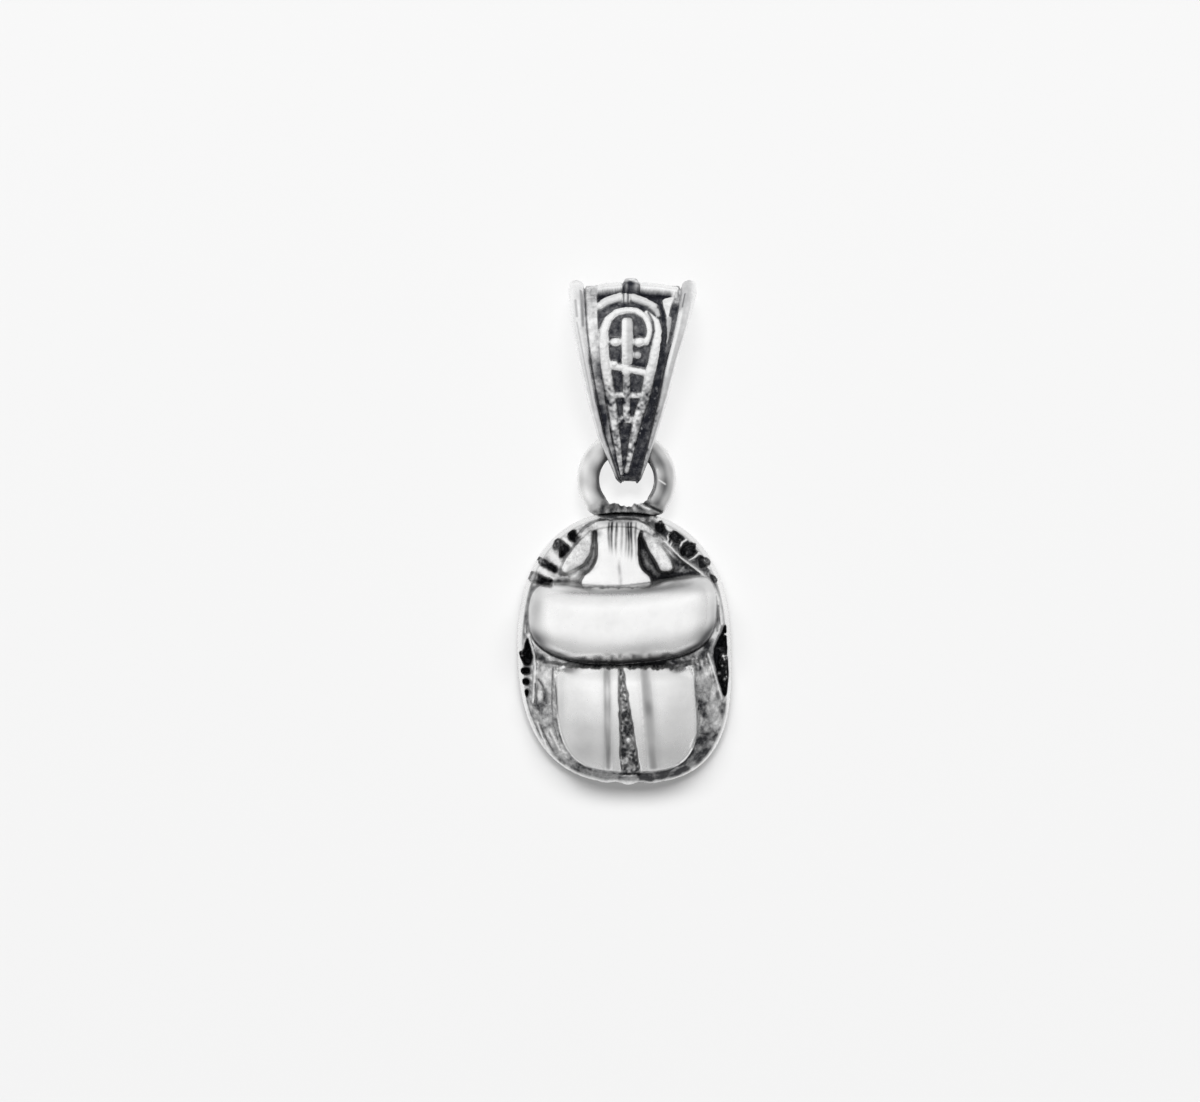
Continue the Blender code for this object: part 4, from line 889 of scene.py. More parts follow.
def mesh_object(name, points, faces, values, material):
    """A smooth piece with its tarnish, painted shade and highlights, and polish stored on its points."""
    mesh = bpy.data.meshes.new(name)
    mesh.from_pydata([tuple(p) for p in np.asarray(points) * MM], [], faces)
    for title, numbers in values.items():
        layer = mesh.attributes.new(title, "FLOAT", "POINT")
        layer.data.foreach_set("value", np.asarray(numbers, dtype=np.float32))
    mesh.materials.append(material)
    mesh.shade_smooth()
    thing = bpy.data.objects.new(name, mesh)
    bpy.context.scene.collection.objects.link(thing)
    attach(thing, "root")
    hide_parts(name.split("_")[0])
    return thing


def grid_faces(rows, columns, closed=False):
    """Quads over a grid of points numbered row by row, joined up both ways where it is closed."""
    last_row, last_column = (rows, columns) if closed else (rows - 1, columns - 1)
    i, j = np.meshgrid(np.arange(last_row), np.arange(last_column), indexing="ij")
    i, j = i.ravel(), j.ravel()
    over, up = (j + 1) % columns, (i + 1) % rows
    corners = (i * columns + j, i * columns + over, up * columns + over, up * columns + j)
    return np.stack(corners, axis=1).tolist()


def rim_order(count):
    """Indices of the border of a square grid, in order around it."""
    last = count - 1
    bottom = list(range(last))
    right = [k * count + last for k in range(last)]
    top = [last * count + last - k for k in range(last)]
    left = [(last - k) * count for k in range(last)]
    return bottom + right + top + left


def build_scarab(material):
    """The casting: a square grid drawn out to the outline, then its side wall and flat back."""
    relief = ScarabRelief()
    outline = scarab_outline(EDGE_STEPS)
    angle = np.arctan2(outline[:, 1], outline[:, 0])
    order = np.argsort(angle)
    reach = np.hypot(outline[:, 0], outline[:, 1])[order]

    count = SCARAB_GRID
    u, v = np.meshgrid(np.linspace(-1, 1, count), np.linspace(-1, 1, count))
    disc_x, disc_y = u * np.sqrt(1 - v * v / 2), v * np.sqrt(1 - u * u / 2)
    scale = np.interp(np.arctan2(disc_y, disc_x), angle[order], reach, period=2 * np.pi)
    x, y = (disc_x * scale).ravel(), (disc_y * scale).ravel()
    points = [np.stack([x, y, relief.plate.sample(relief.height, x, y)], axis=1)]
    values = {"tarnish_and_painted_light": [relief.plate.sample(relief.tarnish_and_painted_light, x, y)],
              "polish": [relief.plate.sample(relief.polish, x, y)]}
    faces = grid_faces(count, count)

    previous = np.array(rim_order(count))
    ring = points[0][previous]
    at_joint = (ring[:, 1] > 8.0) * (1 - ramp(np.abs(ring[:, 0] - SOLDER_CENTRE[0]), 1.0, 2.2))
    start = count * count
    for row in range(1, SIDE_ROWS + 1):
        share = row / SIDE_ROWS
        z = ring[:, 2] * (1 - share)
        inward = np.clip((BACK_BEVEL - z) / BACK_BEVEL, 0, 1) * BACK_BEVEL / HALF_WIDTH
        points.append(np.stack([ring[:, 0] * (1 - inward), ring[:, 1] * (1 - inward), z], axis=1))
        joint = at_joint * (1 - ramp(share, 0.15, 0.8))
        values["tarnish_and_painted_light"].append(WALL_TARNISH + 0.75 * joint)
        values["polish"].append(WALL_POLISH * (1 - joint))
        here = start + np.arange(len(ring))
        faces += np.stack([np.roll(previous, -1), previous, here, np.roll(here, -1)], axis=1).tolist()
        previous = here
        start += len(ring)
    faces.append(previous[::-1].tolist())
    values = {title: np.concatenate(parts) for title, parts in values.items()}
    scarab = mesh_object("scarab_relief", np.vstack(points), faces, values, material)
    scarab.data.polygons[len(faces) - 1].use_smooth = False
    return scarab


def build_ring(material):
    """The wire ring: lumpy with solder at its low side, cut across its upper face."""
    rows, columns = RING_GRID
    a, b = np.meshgrid(2 * np.pi * np.arange(rows) / rows, 2 * np.pi * np.arange(columns) / columns,
                       indexing="ij")
    low_side = ramp(-np.sin(a), 0.55, 0.8)
    lump = 0.05 * np.sin(9 * a + 2 * b) + 0.04 * np.sin(17 * a - 3 * b + 1) + 0.03 * np.sin(31 * a + b)
    wire = WIRE_RADIUS * WIRE_TRIM + low_side * (lump - 0.08)
    inward = 0.14 * ramp(-np.sin(a), 0.75, 0.95) * ramp(-np.cos(b), 0.0, 1.0)
    reach = RING_RADIUS + wire * np.cos(b) - inward
    x = RING_CENTRE[0] + reach * np.cos(a)
    y = RING_CENTRE[1] + reach * np.sin(a)
    z = RING_CENTRE[2] + wire * np.sin(b)
    upper = ramp(z, RING_CENTRE[2] - 0.2, RING_CENTRE[2] + 0.2)
    cut, edge = distance_to(SEAM_CUT, x, y), distance_to(SEAM_EDGE, x, y)
    z = z - upper * (SEAM_DEPTH * hill(cut, 0.07) - 0.05 * hill(edge, 0.08))
    front = np.interp(x, *front_edge()) - SOLDER_OVERLAP
    joint = 1 - ramp(y - front, -0.05, 0.12)
    y = np.maximum(y, front)

    place = np.cos(b)
    # Painted shade across the wire, darkest towards the ring's hole.
    left, right = between(place, RING_LEFT_SHADES), between(place, RING_RIGHT_SHADES)
    uneven = 0.1 * np.sin(3 * a + 1) * np.sin(5 * a + 2 * b) + 0.06 * np.sin(11 * a - 2 * b)
    dark = mixed(left, right, ramp(np.cos(a), -0.3, 0.3)) + uneven * (np.abs(place) < 0.8)
    blotch = np.sin(7 * a + 3 * b) * np.sin(13 * a) + 0.6 * np.sin(23 * a + 4 * b) * np.sin(3 * b)
    dark = mixed(dark, 0.6 + 0.26 * blotch, low_side)
    dark = np.maximum(dark, 0.9 * joint)
    dark = np.maximum(dark, upper * 0.95 * hill(cut, 0.1))
    # A painted highlight along the raised line beside the cut.
    dark = dark * (1 - upper * hill(edge, 0.12))
    for line in SCRATCHES:
        dark = dark * (1 - 0.9 * upper * hill(distance_to(line, x, y), 0.05))
    points = np.stack([x, y, z], axis=-1).reshape(-1, 3)
    values = {"tarnish_and_painted_light": np.clip(dark, 0, 1).ravel(), "polish": np.clip(1 - low_side, 0, 1).ravel()}
    faces = grid_faces(rows, columns, closed=True)
    return mesh_object("ring_wire", points, faces, values, material)


def bail_half_depth(height):
    """Half the bail's depth at a height above its tip."""
    part = np.clip(height / BAIL_LENGTH, 0, 1)
    return BAIL_DEPTH * part ** BAIL_PINCH * np.sqrt(1 - part ** BAIL_BLUNT)


def hole_half_depth(height):
    """Half the depth of the opening between the leaf's two layers."""
    part = np.clip((height - HOLE_START) / (HOLE_END - HOLE_START), 0, 1)
    return HOLE_DEPTH * part ** HOLE_PINCH * np.sqrt(1 - part ** BAIL_BLUNT)


def resting_tilt():
    """The angle at which the bail, hung on the ring, meets the ground."""
    heights = np.linspace(0, BAIL_LENGTH, 200)
    depths = bail_half_depth(heights)
    low, high = 0.0, math.radians(20)
    for _ in range(30):
        tilt = (low + high) / 2
        lowest = np.min((heights - WIRE_HEIGHT) * math.sin(tilt) - depths * math.cos(tilt))
        if RING_CENTRE[2] + lowest > GROUND_CLEARANCE:
            high = tilt
        else:
            low = tilt
    return high


def stroke(x, s, line):
    """Rise of a round stroke through (x, run, radius) points, and its share of the full rise."""
    rise, share = np.zeros(x.shape), np.zeros(x.shape)
    for (ax, ay, ar), (bx, by, br) in zip(line[:-1], line[1:]):
        dx, dy = bx - ax, by - ay
        along = np.clip(((x - ax) * dx + (s - ay) * dy) / (dx * dx + dy * dy + 1e-12), 0, 1)
        radius = ar + (br - ar) * along
        near = np.hypot(x - ax - along * dx, s - ay - along * dy)
        height = np.sqrt(np.clip(radius ** 2 - near ** 2, 0, None))
        share = np.where(height > rise, height / radius, share)
        rise = np.maximum(rise, height)
    return rise, share


def knob(u, v):
    """A domed knob with square shoulders, 1 high, over places in halves of its size."""
    return np.sqrt(np.clip(1 - u ** 4 - v ** 4, 0, 1))


class Leaf:
    """The bail's folded leaf, unrolled: its run goes from the tip over the crest and back."""

    def __init__(self):
        self.tilt = resting_tilt()
        self.table_heights = BAIL_LENGTH * (1 - np.cos(np.linspace(0, np.pi, RUN_STEPS))) / 2
        depths = bail_half_depth(self.table_heights)
        lengths = np.hypot(np.diff(self.table_heights), np.diff(depths))
        self.table_runs = np.concatenate([[0], np.cumsum(lengths)])
        self.crest = crest = float(self.table_runs[-1])
        front = np.linspace(0, crest, round(crest / BAIL_ROW_STEP))
        over = np.arange(1, round(CREST_REACH / BAIL_ROW_STEP)) * BAIL_ROW_STEP + crest
        rest = np.linspace(crest + CREST_REACH, 2 * crest, round(crest / BAIL_BACK_STEP))[:-1]
        self.runs = np.concatenate([front, over, rest])
        self.heights = self.height_at(self.runs)
        self.face = np.where(self.runs <= crest, 1.0, -1.0)

    def run_at(self, height):
        """The run of a height on the front."""
        return np.interp(height, self.table_heights, self.table_runs)

    def height_at(self, run):
        """The height of a run on either side of the crest."""
        return np.interp(np.minimum(run, 2 * self.crest - run), self.table_runs, self.table_heights)

    def seen_at(self, run):
        """How far up a place shows from above, with the bail tilted as it rests."""
        height = self.height_at(run)
        depth = np.where(run <= self.crest, 1, -1) * bail_half_depth(height)
        return height * math.cos(self.tilt) - depth * math.sin(self.tilt)

    def laid(self, points):
        """Points given as x and height, laid out along the run, with fuller strokes."""
        return [(p[0], float(self.run_at(p[1])), *(STROKE_FULLNESS * r for r in p[2:])) for p in points]


class LeafCarving:
    """Rise and tarnish of the strokes over the leaf's ground, with painted shade on their sides, on a
    plate of x and run.
    """

    def __init__(self, leaf):
        low, high = LEAF_PLATE
        self.leaf = leaf
        self.plate = plate = Plate(low, (high, leaf.crest + CREST_REACH - low[1]), PLATE_STEP)
        self.x, self.s = x, s = plate.x, plate.y
        self.small, self.fine = plate.grain(*STROKE_SMALL_GRAIN), plate.grain(*STROKE_FINE_GRAIN)
        self.rise = np.zeros(x.shape)
        by_tip = ramp(leaf.run_at(7.8) - s, 0.0, 1.5)
        lower = ramp(leaf.run_at(9.4) - s, 0.0, 1.2)
        by_crest = ramp(s, leaf.run_at(12.6), leaf.run_at(13.2))
        self.dark = (0.82 + 0.06 * lower + 0.1 * self.small + 0.08 * self.fine + 0.18 * by_crest
                     - by_tip * ramp(self.fine + 0.5 * self.small, 0.9, 1.8) * 0.5)
        self.mottled_darkening = by_tip * (0.28 + 0.2 * self.small + 0.4 * self.fine)
        self.raise_strokes()
        self.raise_crest()
        self.cut_grooves(by_tip)
        self.dark = np.clip(self.dark, 0, 1)

    def draw(self, height, share, shade):
        """Lay a form over what is there, black at the foot of its flanks: painted shade on its sides,
        with patina at its foot.
        """
        over = height > np.maximum(self.rise, 0.015)
        # Painted shade on the lower sides of a round form, and patina where it meets the ground.
        flank = np.clip((0.4 - share) / 0.4, 0, 1)
        self.dark = np.where(over, 0.7 * shade + self.mottled_darkening + 0.55 * flank ** 1.5, self.dark)
        self.rise = np.maximum(self.rise, height)

    def cut(self, share, depth, shade, above=0.0):
        """Sink a line into what stands higher than that, and blacken all of it."""
        self.rise = self.rise - depth * share * (self.rise > above)
        self.dark = np.maximum(self.dark, shade * share)

    def raise_strokes(self):
        """The post, strokes, beads, flare and lower knot of the front."""
        x, s, small, run_at = self.x, self.s, self.small, self.leaf.run_at
        post_x, low, high, half, tall = POST
        middle, reach = float(run_at((low + high) / 2)), float(run_at(high) - run_at(low)) / 2
        post = 1 - ((x - post_x) / half) ** 4 - ((s - middle) / reach) ** 8
        post = tall * np.sqrt(np.clip(post, 0, 1))
        self.draw(post, post / tall,
                  0.36 * ramp(x, -0.12, 0.12) * (1 - 0.4 * ramp(x, 0.25, 0.4)) + 0.08 * small)
        for line, shade in STROKES:
            self.draw(*stroke(x, s, self.leaf.laid(line)), shade)
        for px, ph, radius, shade in BEADS:
            near = np.hypot(x - px, s - float(run_at(ph))) / radius
            ball = radius * np.sqrt(np.clip(1 - near ** 2, 0, 1))
            self.draw(ball * 1.15, ball / radius, shade)
        flare = ramp(depth_inside(smooth_loop(self.leaf.laid(FLARE)), x, s), 0.0, 0.1)
        self.draw(0.24 * flare, flare, 0.1 + 0.1 * small)
        px, ph, half_x, half_s = LOWER_KNOT
        knot = knob((x - px) / half_x, (s - float(run_at(ph))) / half_s)
        self.draw(0.5 * knot, knot, 0.2)
        for offset in LOWER_KNOT_CUTS:
            self.cut(hill(x - px - offset, 0.055) * (knot > 0.2), 0.14, 0.8)

    def raise_crest(self):
        """The bow and its knot, placed as they show from above."""
        x, s, small, run_at = self.x, self.s, self.small, self.leaf.run_at
        seen = self.leaf.seen_at(s)
        self.dark = self.dark * (1 - 0.75 * ramp(x, 2.85, 3.05) * ramp(s, run_at(12.5), run_at(12.9)))
        for line in CREST_BOW:
            height, share = stroke(x, seen, line)
            self.draw((1.1 * height + 0.4) * (height > 0), share, 0.02 + 0.08 * small)
        px, ph, half_x, half_h = CREST_KNOT
        knot = knob((x - px) / half_x, (seen - ph) / half_h)
        self.draw((0.4 + 0.4 * knot) * (knot > 0), knot, 0.62 + 0.5 * small + 0.3 * self.fine)
        for offset in CREST_KNOT_CUTS:
            self.cut(hill(x - px - offset, 0.08) * (s > self.leaf.crest - 0.7), 0.2, 0.95, 0.3)

    def cut_grooves(self, by_tip):
        """The split in the hook and the long groove beside the strokes."""
        split = distance_to(self.leaf.laid(HOOK_SPLIT), self.x, self.s)
        self.cut(hill(split, 0.055), 0.15, 0.85, 0.1)
        heights, halves = zip(*GROOVE_HALVES)
        half = np.interp(self.s, self.leaf.run_at(np.array(heights)), halves)
        groove = distance_to(self.leaf.laid(GROOVE), self.x, self.s)
        groove = 1 - ramp(groove + 0.03 * self.fine, half * 0.8, half * 1.25)
        black = 0.95 + 0.1 * self.small - 0.3 * by_tip * (self.fine > 1)
        self.rise = self.rise * (1 - groove)
        self.dark = self.dark + (black - self.dark) * groove


def build_bail(material):
    """The folded leaf with its rails, bands and strokes, and the opening through it."""
    leaf = Leaf()
    carving = LeafCarving(leaf)
    plate = carving.plate
    fine, small = plate.grain(*LEAF_FINE_GRAIN), plate.grain(*LEAF_SMALL_GRAIN)

    run, place = np.meshgrid(leaf.runs, np.linspace(0, 1, BAIL_COLUMNS), indexing="ij")
    tall = np.broadcast_to(leaf.heights[:, None], run.shape)
    face = np.broadcast_to(leaf.face[:, None], run.shape)
    left, width = between(tall, BAIL_LEFT), between(tall, BAIL_RIGHT) - between(tall, BAIL_LEFT)
    x = left + width * place
    scale = np.minimum(1, width / FULL_RISE_WIDTH)
    drawn_here = 1 - ramp(run, leaf.crest + CREST_REACH - 0.4, leaf.crest + CREST_REACH)
    fine, small = plate.sample(fine, x, run), plate.sample(small, x, run)

    side = np.minimum(place, 1 - place)
    u, step_in = np.clip(side / RAIL_WIDTH, 0, 1), side - RAIL_WIDTH
    rail = RAIL_RISE * np.sqrt(np.clip(1 - (2 * u - 1) ** 2, 0, 1)) ** 0.8
    rail = np.where(side < RAIL_WIDTH * 0.5, np.maximum(rail, RAIL_RISE * 0.2 * (u > 0)), rail)
    edge_band = ramp(step_in, 0.004, 0.02) * (1 - ramp(step_in, BAND_WIDTH - 0.015, BAND_WIDTH - 0.003))
    band = edge_band * (place < 0.5)
    rise = np.maximum(rail, BAND_RISE * np.maximum(band, edge_band * (face < 0)))
    drawn = plate.sample(carving.rise, x, run) * drawn_here
    rise = np.maximum(rise, drawn / np.maximum(scale, 0.4))
    lumpy = 0.02 * fine + 0.03 * small * ramp(8 - tall, 0, 2)
    lift = (rise - RAIL_RISE) * scale + lumpy * ramp(u, 0.9, 1.0)
    lift = np.minimum(lift, CREST_LIFT * (run > leaf.crest - 1.2) * drawn_here)

    depth = leaf.face * bail_half_depth(leaf.heights)
    dh, dd = [np.roll(line, -1) - np.roll(line, 1) for line in (leaf.heights, depth)]
    length = np.hypot(dh, dd) + 1e-9
    outer = np.stack([x, tall - WIRE_HEIGHT + (-dd / length)[:, None] * lift,
                      depth[:, None] + (dh / length)[:, None] * lift], axis=-1)
    hole_h = HOLE_START + (HOLE_END - HOLE_START) * (leaf.heights / BAIL_LENGTH)
    tall_hole, across = np.meshgrid(hole_h, np.linspace(0, 1, HOLE_COLUMNS), indexing="ij")
    hole_left, hole_right = between(tall_hole, BAIL_LEFT), between(tall_hole, BAIL_RIGHT)
    hole_depth = leaf.face * hole_half_depth(hole_h)
    inner = np.stack([hole_right + (hole_left - hole_right) * across, tall_hole - WIRE_HEIGHT,
                      np.broadcast_to(hole_depth[:, None], across.shape)], axis=-1)
    points = np.concatenate([outer, inner], axis=1).reshape(-1, 3)

    mottle = 0.16 * small + 0.12 * fine
    streaky = 0.2 * np.sin(26 * place + 2 * np.sin(tall)) * ramp(8.6 - tall, 0, 1)
    front_dark = np.where(band > 0.4, between(tall, BAND_SHADES) + mottle + streaky,
                          plate.sample(carving.dark, x, run))
    seam = (1 - ramp(np.abs(step_in), 0.002, 0.011)) * (tall < 13.2)
    front_dark = np.maximum(front_dark, np.where(place < 0.5, 1.0, 0.25) * seam * 0.9)
    back_dark = 0.5 * (1 - np.clip(rise / 0.15, 0, 1)) + 0.12 + mottle
    rail_dark = rail_tarnish_and_highlight(leaf, x, run, place, tall, u, mottle)
    on_rail, on_front = side < RAIL_WIDTH, face > 0
    dark = np.where(drawn_here > 0.5, front_dark, back_dark)
    dark = np.where(on_rail, np.where(on_front, rail_dark, 0.15 + mottle), dark)
    dark = np.maximum(dark, (0.72 + 0.6 * mottle) * ramp(0.9 - tall, 0, 0.7))
    polish = np.where(on_rail, 0.8, 0.3 + 0.5 * ramp(drawn, 0.05, 0.15) * ramp(tall, 6.5, 8.5))
    values = {title: np.concatenate([outside, np.full(across.shape, inside)], axis=1).ravel()
              for title, outside, inside in (("tarnish_and_painted_light", np.clip(dark, 0, 1), HOLE_TARNISH),
                                             ("polish", polish, HOLE_POLISH))}

    seat = Vector((RING_CENTRE[0], RING_CENTRE[1] + RING_RADIUS, RING_CENTRE[2]))
    points = points @ np.array(Matrix.Rotation(leaf.tilt, 3, "X")).T + np.array(seat)
    points[:, 2] = np.maximum(points[:, 2], GROUND_CLEARANCE)
    faces = grid_faces(len(leaf.runs), BAIL_COLUMNS + HOLE_COLUMNS, closed=True)
    return mesh_object("bail_leaf", points, faces, values, material)


def rail_tarnish_and_highlight(leaf, x, run, place, tall, u, mottle):
    """Tarnish of the front's two rails, with a painted highlight strip down the right one, u going from
    their outer to their inner edge.
    """
    on_right = place > 0.5
    dark = (np.where(place < 0.5, 0.08, 0.26) * ramp(u, 0.1, 0.5) + 0.3 * mottle
            + 0.1 * ramp(7.5 - tall, 0, 3))
    # A painted highlight strip near the right rail's inner edge.
    painted_highlight_strip = on_right * ramp(u, 0.55, 0.7) * ramp(12.2 - tall, 0, 0.5)
    dark = dark * (1 - painted_highlight_strip * ramp(tall, 7.2, 8.2))
    speckled = on_right * ramp(u, 0.35, 0.7) * ramp(7.5 - tall, 0, 2)
    dark = np.maximum(dark, speckled * (0.38 + 2.4 * mottle))
    for line, half, shade in STREAKS:
        streak = hill(distance_to(leaf.laid(line), x, run), half) * (run <= leaf.crest)
        dark = np.maximum(dark, shade * streak)
    return dark


# Materials

class Value:
    """A shader value that takes part in arithmetic."""

    def __init__(self, tree, socket):
        self.tree, self.socket = tree, socket

    def maths(self, operation, *items, clamp=False):
        """A Math node on values and numbers."""
        node = self.tree.nodes.new("ShaderNodeMath")
        node.operation = operation
        node.use_clamp = clamp
        for slot, item in zip(node.inputs, items):
            if isinstance(item, Value):
                self.tree.links.new(item.socket, slot)
            else:
                slot.default_value = item
        return Value(self.tree, node.outputs[0])

    def __add__(self, other):
        return self.maths("ADD", self, other)

    def __sub__(self, other):
        return self.maths("SUBTRACT", self, other)

    def __rsub__(self, other):
        return self.maths("SUBTRACT", other, self)

    def __mul__(self, other):
        return self.maths("MULTIPLY", self, other)

    def __pow__(self, other):
        return self.maths("POWER", self, other)

    __radd__ = __add__
    __rmul__ = __mul__

    def clipped(self):
        """Kept within 0 and 1."""
        return self.maths("ADD", self, 0.0, clamp=True)

    def ramp(self, low, high):
        """0 below low and 1 above high, with a soft turn at both."""
        share = self.maths("DIVIDE", self - low, high - low, clamp=True)
        return share * share * (3.0 - 2.0 * share)


class Recipe:
    """Builds one material or world from plain statements."""

    def __init__(self, owner):
        owner.use_nodes = True
        self.tree = owner.node_tree
        self.tree.nodes.clear()

    def node(self, kind, output=0, settings=(), **inputs):
        """A node of that kind, its settings and inputs filled in, as one of its outputs.

        An input goes by its title with underscores for spaces, or by its number as item_0.
        """
        node = self.tree.nodes.new("ShaderNode" + kind)
        for name, value in dict(settings).items():
            setattr(node, name, value)
        for name, value in inputs.items():
            number = name.startswith("item_")
            slot = node.inputs[int(name[5:]) if number else name.replace("_", " ")]
            if isinstance(value, Value):
                self.tree.links.new(value.socket, slot)
            else:
                slot.default_value = value
        return Value(self.tree, node.outputs[output]) if node.outputs else None

    def stored(self, title):
        """A value stored on the piece's points."""
        return self.node("Attribute", 2, {"attribute_name": title})

    def place(self):
        """Position on the piece in millimetres."""
        spot = self.node("TexCoord", 3)
        return self.node("VectorMath", 0, {"operation": "SCALE"}, item_0=spot, Scale=1000.0)

    def stretched(self, spot, scale):
        """The position stretched along each axis."""
        return self.node("VectorMath", 0, {"operation": "MULTIPLY"}, item_0=spot, item_1=scale)

    def parts(self, vector):
        """The three parts of a vector."""
        first = self.node("SeparateXYZ", 0, Vector=vector)
        return [Value(self.tree, out) for out in first.socket.node.outputs]

    def noise(self, spot, scale, detail, roughness):
        """Fine unevenness from 0 to 1, with that many waves to a millimetre."""
        return self.node("TexNoise", 0, Vector=spot, Scale=scale, Detail=detail, Roughness=roughness)

    def blend(self, share, first, second):
        """A colour between two, by the share of the second."""
        return self.node("Mix", 2, {"data_type": "RGBA"}, item_0=share, item_6=first, item_7=second)


def silver_finish(name, bright, oxide, polished_roughness, mottle, scratch):
    """Oxidised sterling silver: rubbed bright on top, black in the hollows; the stored tarnish also
    carries painted shade and highlights.
    """
    material = bpy.data.materials.new(name)
    recipe = Recipe(material)
    spot = recipe.place()
    tarnish_and_painted_light, polish = recipe.stored("tarnish_and_painted_light"), recipe.stored("polish")
    blotches = recipe.noise(spot, 2.2, 4.0, 0.6)
    specks = recipe.noise(spot, 9.0, 3.0, 0.65)
    uneven = (blotches - 0.5) * 0.45 + (specks - 0.5) * 0.55
    # The stored darkness, painted shade and highlights included, made uneven.
    film_and_shade = (tarnish_and_painted_light + uneven * mottle * (1.0 - polish * 0.88)).clipped()
    haze = (recipe.noise(spot, 0.45, 3.0, 0.55) - 0.42) * 1.6
    dull = tuple(part * 0.8 for part in bright)
    rubbed = recipe.blend(haze.clipped(), (*bright, 1.0), (*dull, 1.0))
    colour = recipe.blend((1.0 - film_and_shade) ** 1.4, (*oxide, 1.0), rubbed)
    painted_shade_and_wear = recipe.noise(spot, 3.0, 4.0, 0.6)
    roughness = (polished_roughness + painted_shade_and_wear * 0.08 + (1.0 - polish) * 0.12 + film_and_shade * 0.3).clipped()

    lines = recipe.noise(recipe.stretched(spot, (0.35, 9.0, 3.0)), 3.0, 2.0, 0.5)
    cross = recipe.noise(recipe.stretched(spot, (11.0, 0.4, 3.0)), 2.0, 2.0, 0.5)
    scratches = (lines.ramp(0.62, 0.8) + cross.ramp(0.64, 0.8)) * scratch
    pores = recipe.noise(spot, 14.0, 3.0, 0.6) * (1.0 - polish) * 1.2
    relief = pores + scratches * 0.3 + blotches * (1.0 - polish) * 0.8
    bumps = recipe.node("Bump", 0, Height=relief, Strength=0.35, Distance=0.03 * MM)
    shader = recipe.node("BsdfPrincipled", 0, Base_Color=colour, Metallic=1.0, Roughness=roughness,
                         Normal=bumps)
    recipe.node("OutputMaterial", 0, Surface=shader)
    return material


def table_finish():
    """A pale table that also gives off a little light of its own."""
    material = bpy.data.materials.new("pale table")
    recipe = Recipe(material)
    paper = recipe.node("BsdfDiffuse", 0, Color=(TABLE_GREY, TABLE_GREY, TABLE_GREY, 1.0), Roughness=0.0)
    glow = recipe.node("Emission", 0, Color=(1.0, 1.0, 1.0, 1.0), Strength=TABLE_GLOW)
    lit = recipe.node("MixShader", 0, item_0=GLOW_SHARE, item_1=paper, item_2=glow)
    recipe.node("OutputMaterial", 0, Surface=lit)
    return material


def tent_light():
    """A white light tent around the silver, dimmer in front of it and on its right.

    It doesn't light the table, which the lamps do.
    """
    world = bpy.data.worlds.new("light tent")
    bpy.context.scene.world = world
    world.cycles_visibility.diffuse = False
    recipe = Recipe(world)
    to_right, to_back, up = recipe.parts(recipe.node("TexCoord", 0))
    front, back = (0.0 - to_back).ramp(0.15, 1.0), to_back.ramp(0.5, 1.0)
    right, left = to_right.ramp(0.25, 1.0), (0.0 - to_right).ramp(0.45, 1.0)
    low, overhead = 1.0 - up.ramp(-0.05, 0.3), up.ramp(0.8, 1.0)
    dim = (front * 0.5 + back * 0.22 + right * 0.33 + left * 0.18 + low * 0.1 + overhead * 0.1).clipped()
    white, grey = [recipe.node("Background", 0, Color=(1.0, 1.0, 1.0, 1.0), Strength=strength)
                   for strength in (TENT_WHITE, TENT_GREY)]
    tent = recipe.node("MixShader", 0, item_0=dim, item_1=white, item_2=grey)
    recipe.node("OutputWorld", 0, Surface=tent)


def stand_in_scene(name, data, spot=(0.0, 0.0, 0.0)):
    """An object of the studio, at its place."""
    thing = bpy.data.objects.new(name, data)
    bpy.context.scene.collection.objects.link(thing)
    thing.location = Vector(spot)
    return thing


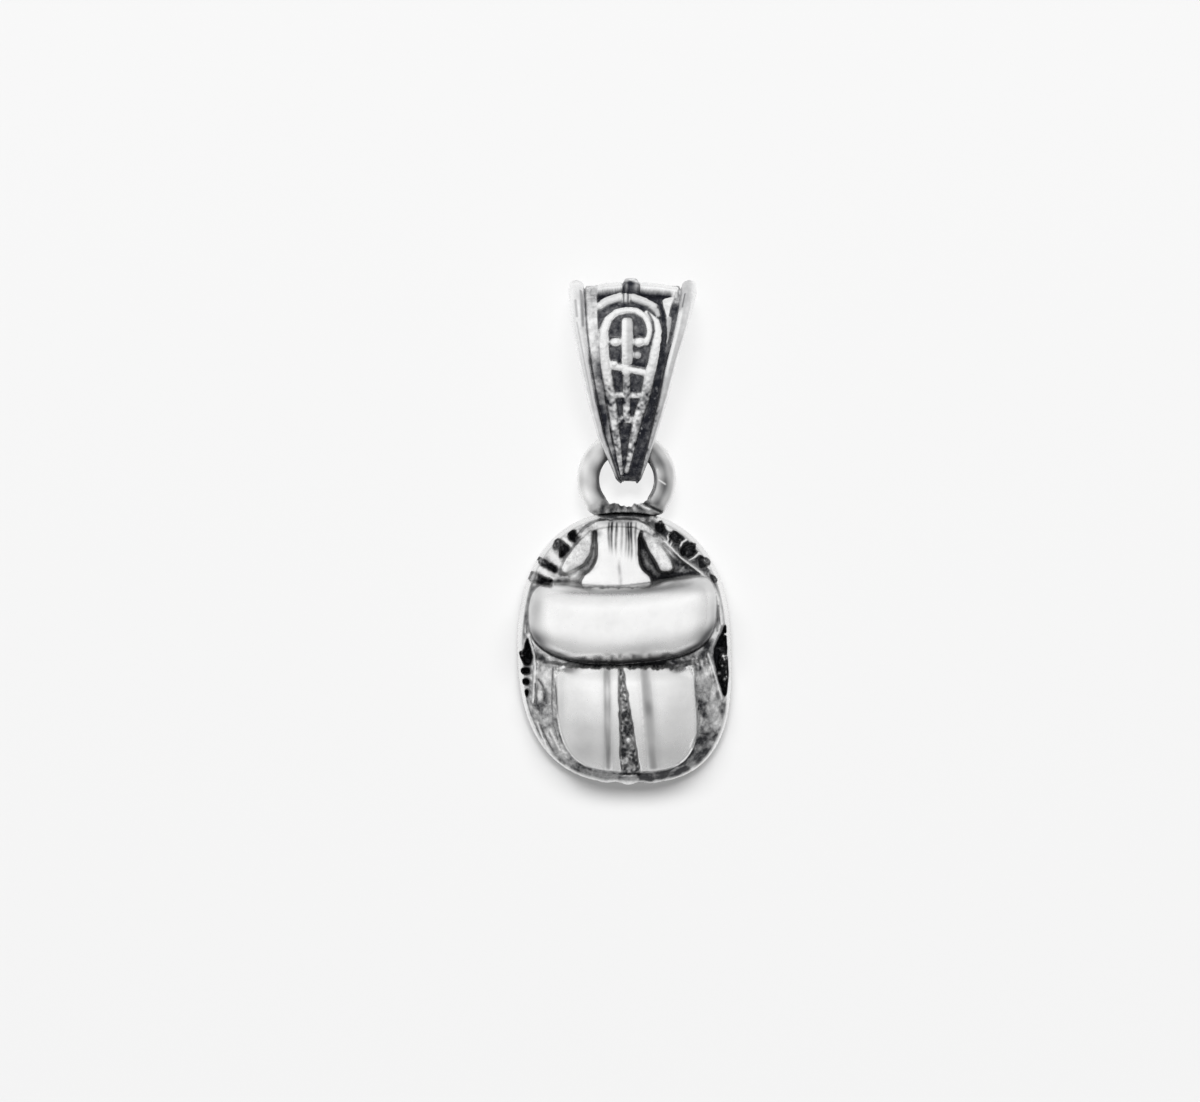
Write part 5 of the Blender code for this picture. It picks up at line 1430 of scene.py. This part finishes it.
def soft_lamp(name, size, power, shading=None):
    """An oval lamp that lights the table, kept off it by every piece or by the one given."""
    lamp = bpy.data.lights.new(name, "AREA")
    lamp.shape = "ELLIPSE"
    lamp.size, lamp.size_y = size
    lamp.energy = power
    thing = stand_in_scene(name, lamp, LAMP_SPOT)
    thing.rotation_euler = (Vector() - Vector(LAMP_SPOT)).to_track_quat("-Z", "Y").to_euler()
    thing.visible_glossy = False
    if shading:
        blockers = bpy.data.collections.new(name)
        blockers.objects.link(shading)
        thing.light_linking.blocker_collection = blockers


def studio(scarab):
    """Table, light and a camera straight above."""
    table = bpy.data.meshes.new("table")
    corners = [(x * TABLE_HALF, y * TABLE_HALF, 0) for x, y in ((-1, -1), (1, -1), (1, 1), (-1, 1))]
    table.from_pydata(corners, [], [(0, 1, 2, 3)])
    table.materials.append(table_finish())
    floor = stand_in_scene("table", table)
    tent_light()
    soft_lamp("lamp above the head", *STRONG_LAMP, scarab)
    soft_lamp("second lamp", *WEAK_LAMP)

    lens = bpy.data.cameras.new("camera")
    lens.lens = LENS_LENGTH
    lens.sensor_width = SENSOR_WIDTH
    lens.clip_start = NEAREST_SEEN
    bpy.context.scene.camera = stand_in_scene("camera", lens, CAMERA_SPOT)
    bpy.context.scene.view_settings.view_transform = "Standard"


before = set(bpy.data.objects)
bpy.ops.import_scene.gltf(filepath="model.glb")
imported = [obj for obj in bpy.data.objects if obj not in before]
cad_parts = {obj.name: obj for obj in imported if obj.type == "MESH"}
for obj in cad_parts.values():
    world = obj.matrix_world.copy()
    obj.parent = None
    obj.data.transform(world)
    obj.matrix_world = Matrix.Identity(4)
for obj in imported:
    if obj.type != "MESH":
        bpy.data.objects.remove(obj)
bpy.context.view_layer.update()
cast = silver_finish("cast silver, oxidised", bright=(0.94, 0.939, 0.937), oxide=(0.032, 0.033, 0.037),
                     polished_roughness=0.22, mottle=1.0, scratch=0.5)
wire = silver_finish("ring wire, polished", bright=(0.93, 0.929, 0.926), oxide=(0.034, 0.035, 0.038),
                     polished_roughness=0.22, mottle=0.8, scratch=0.8)
leaf = silver_finish("bail leaf, darkened", bright=(0.97, 0.97, 0.972), oxide=(0.03, 0.0315, 0.041),
                     polished_roughness=0.2, mottle=1.0, scratch=0.7)
scarab = build_scarab(cast)
build_ring(wire)
build_bail(leaf)
studio(scarab)
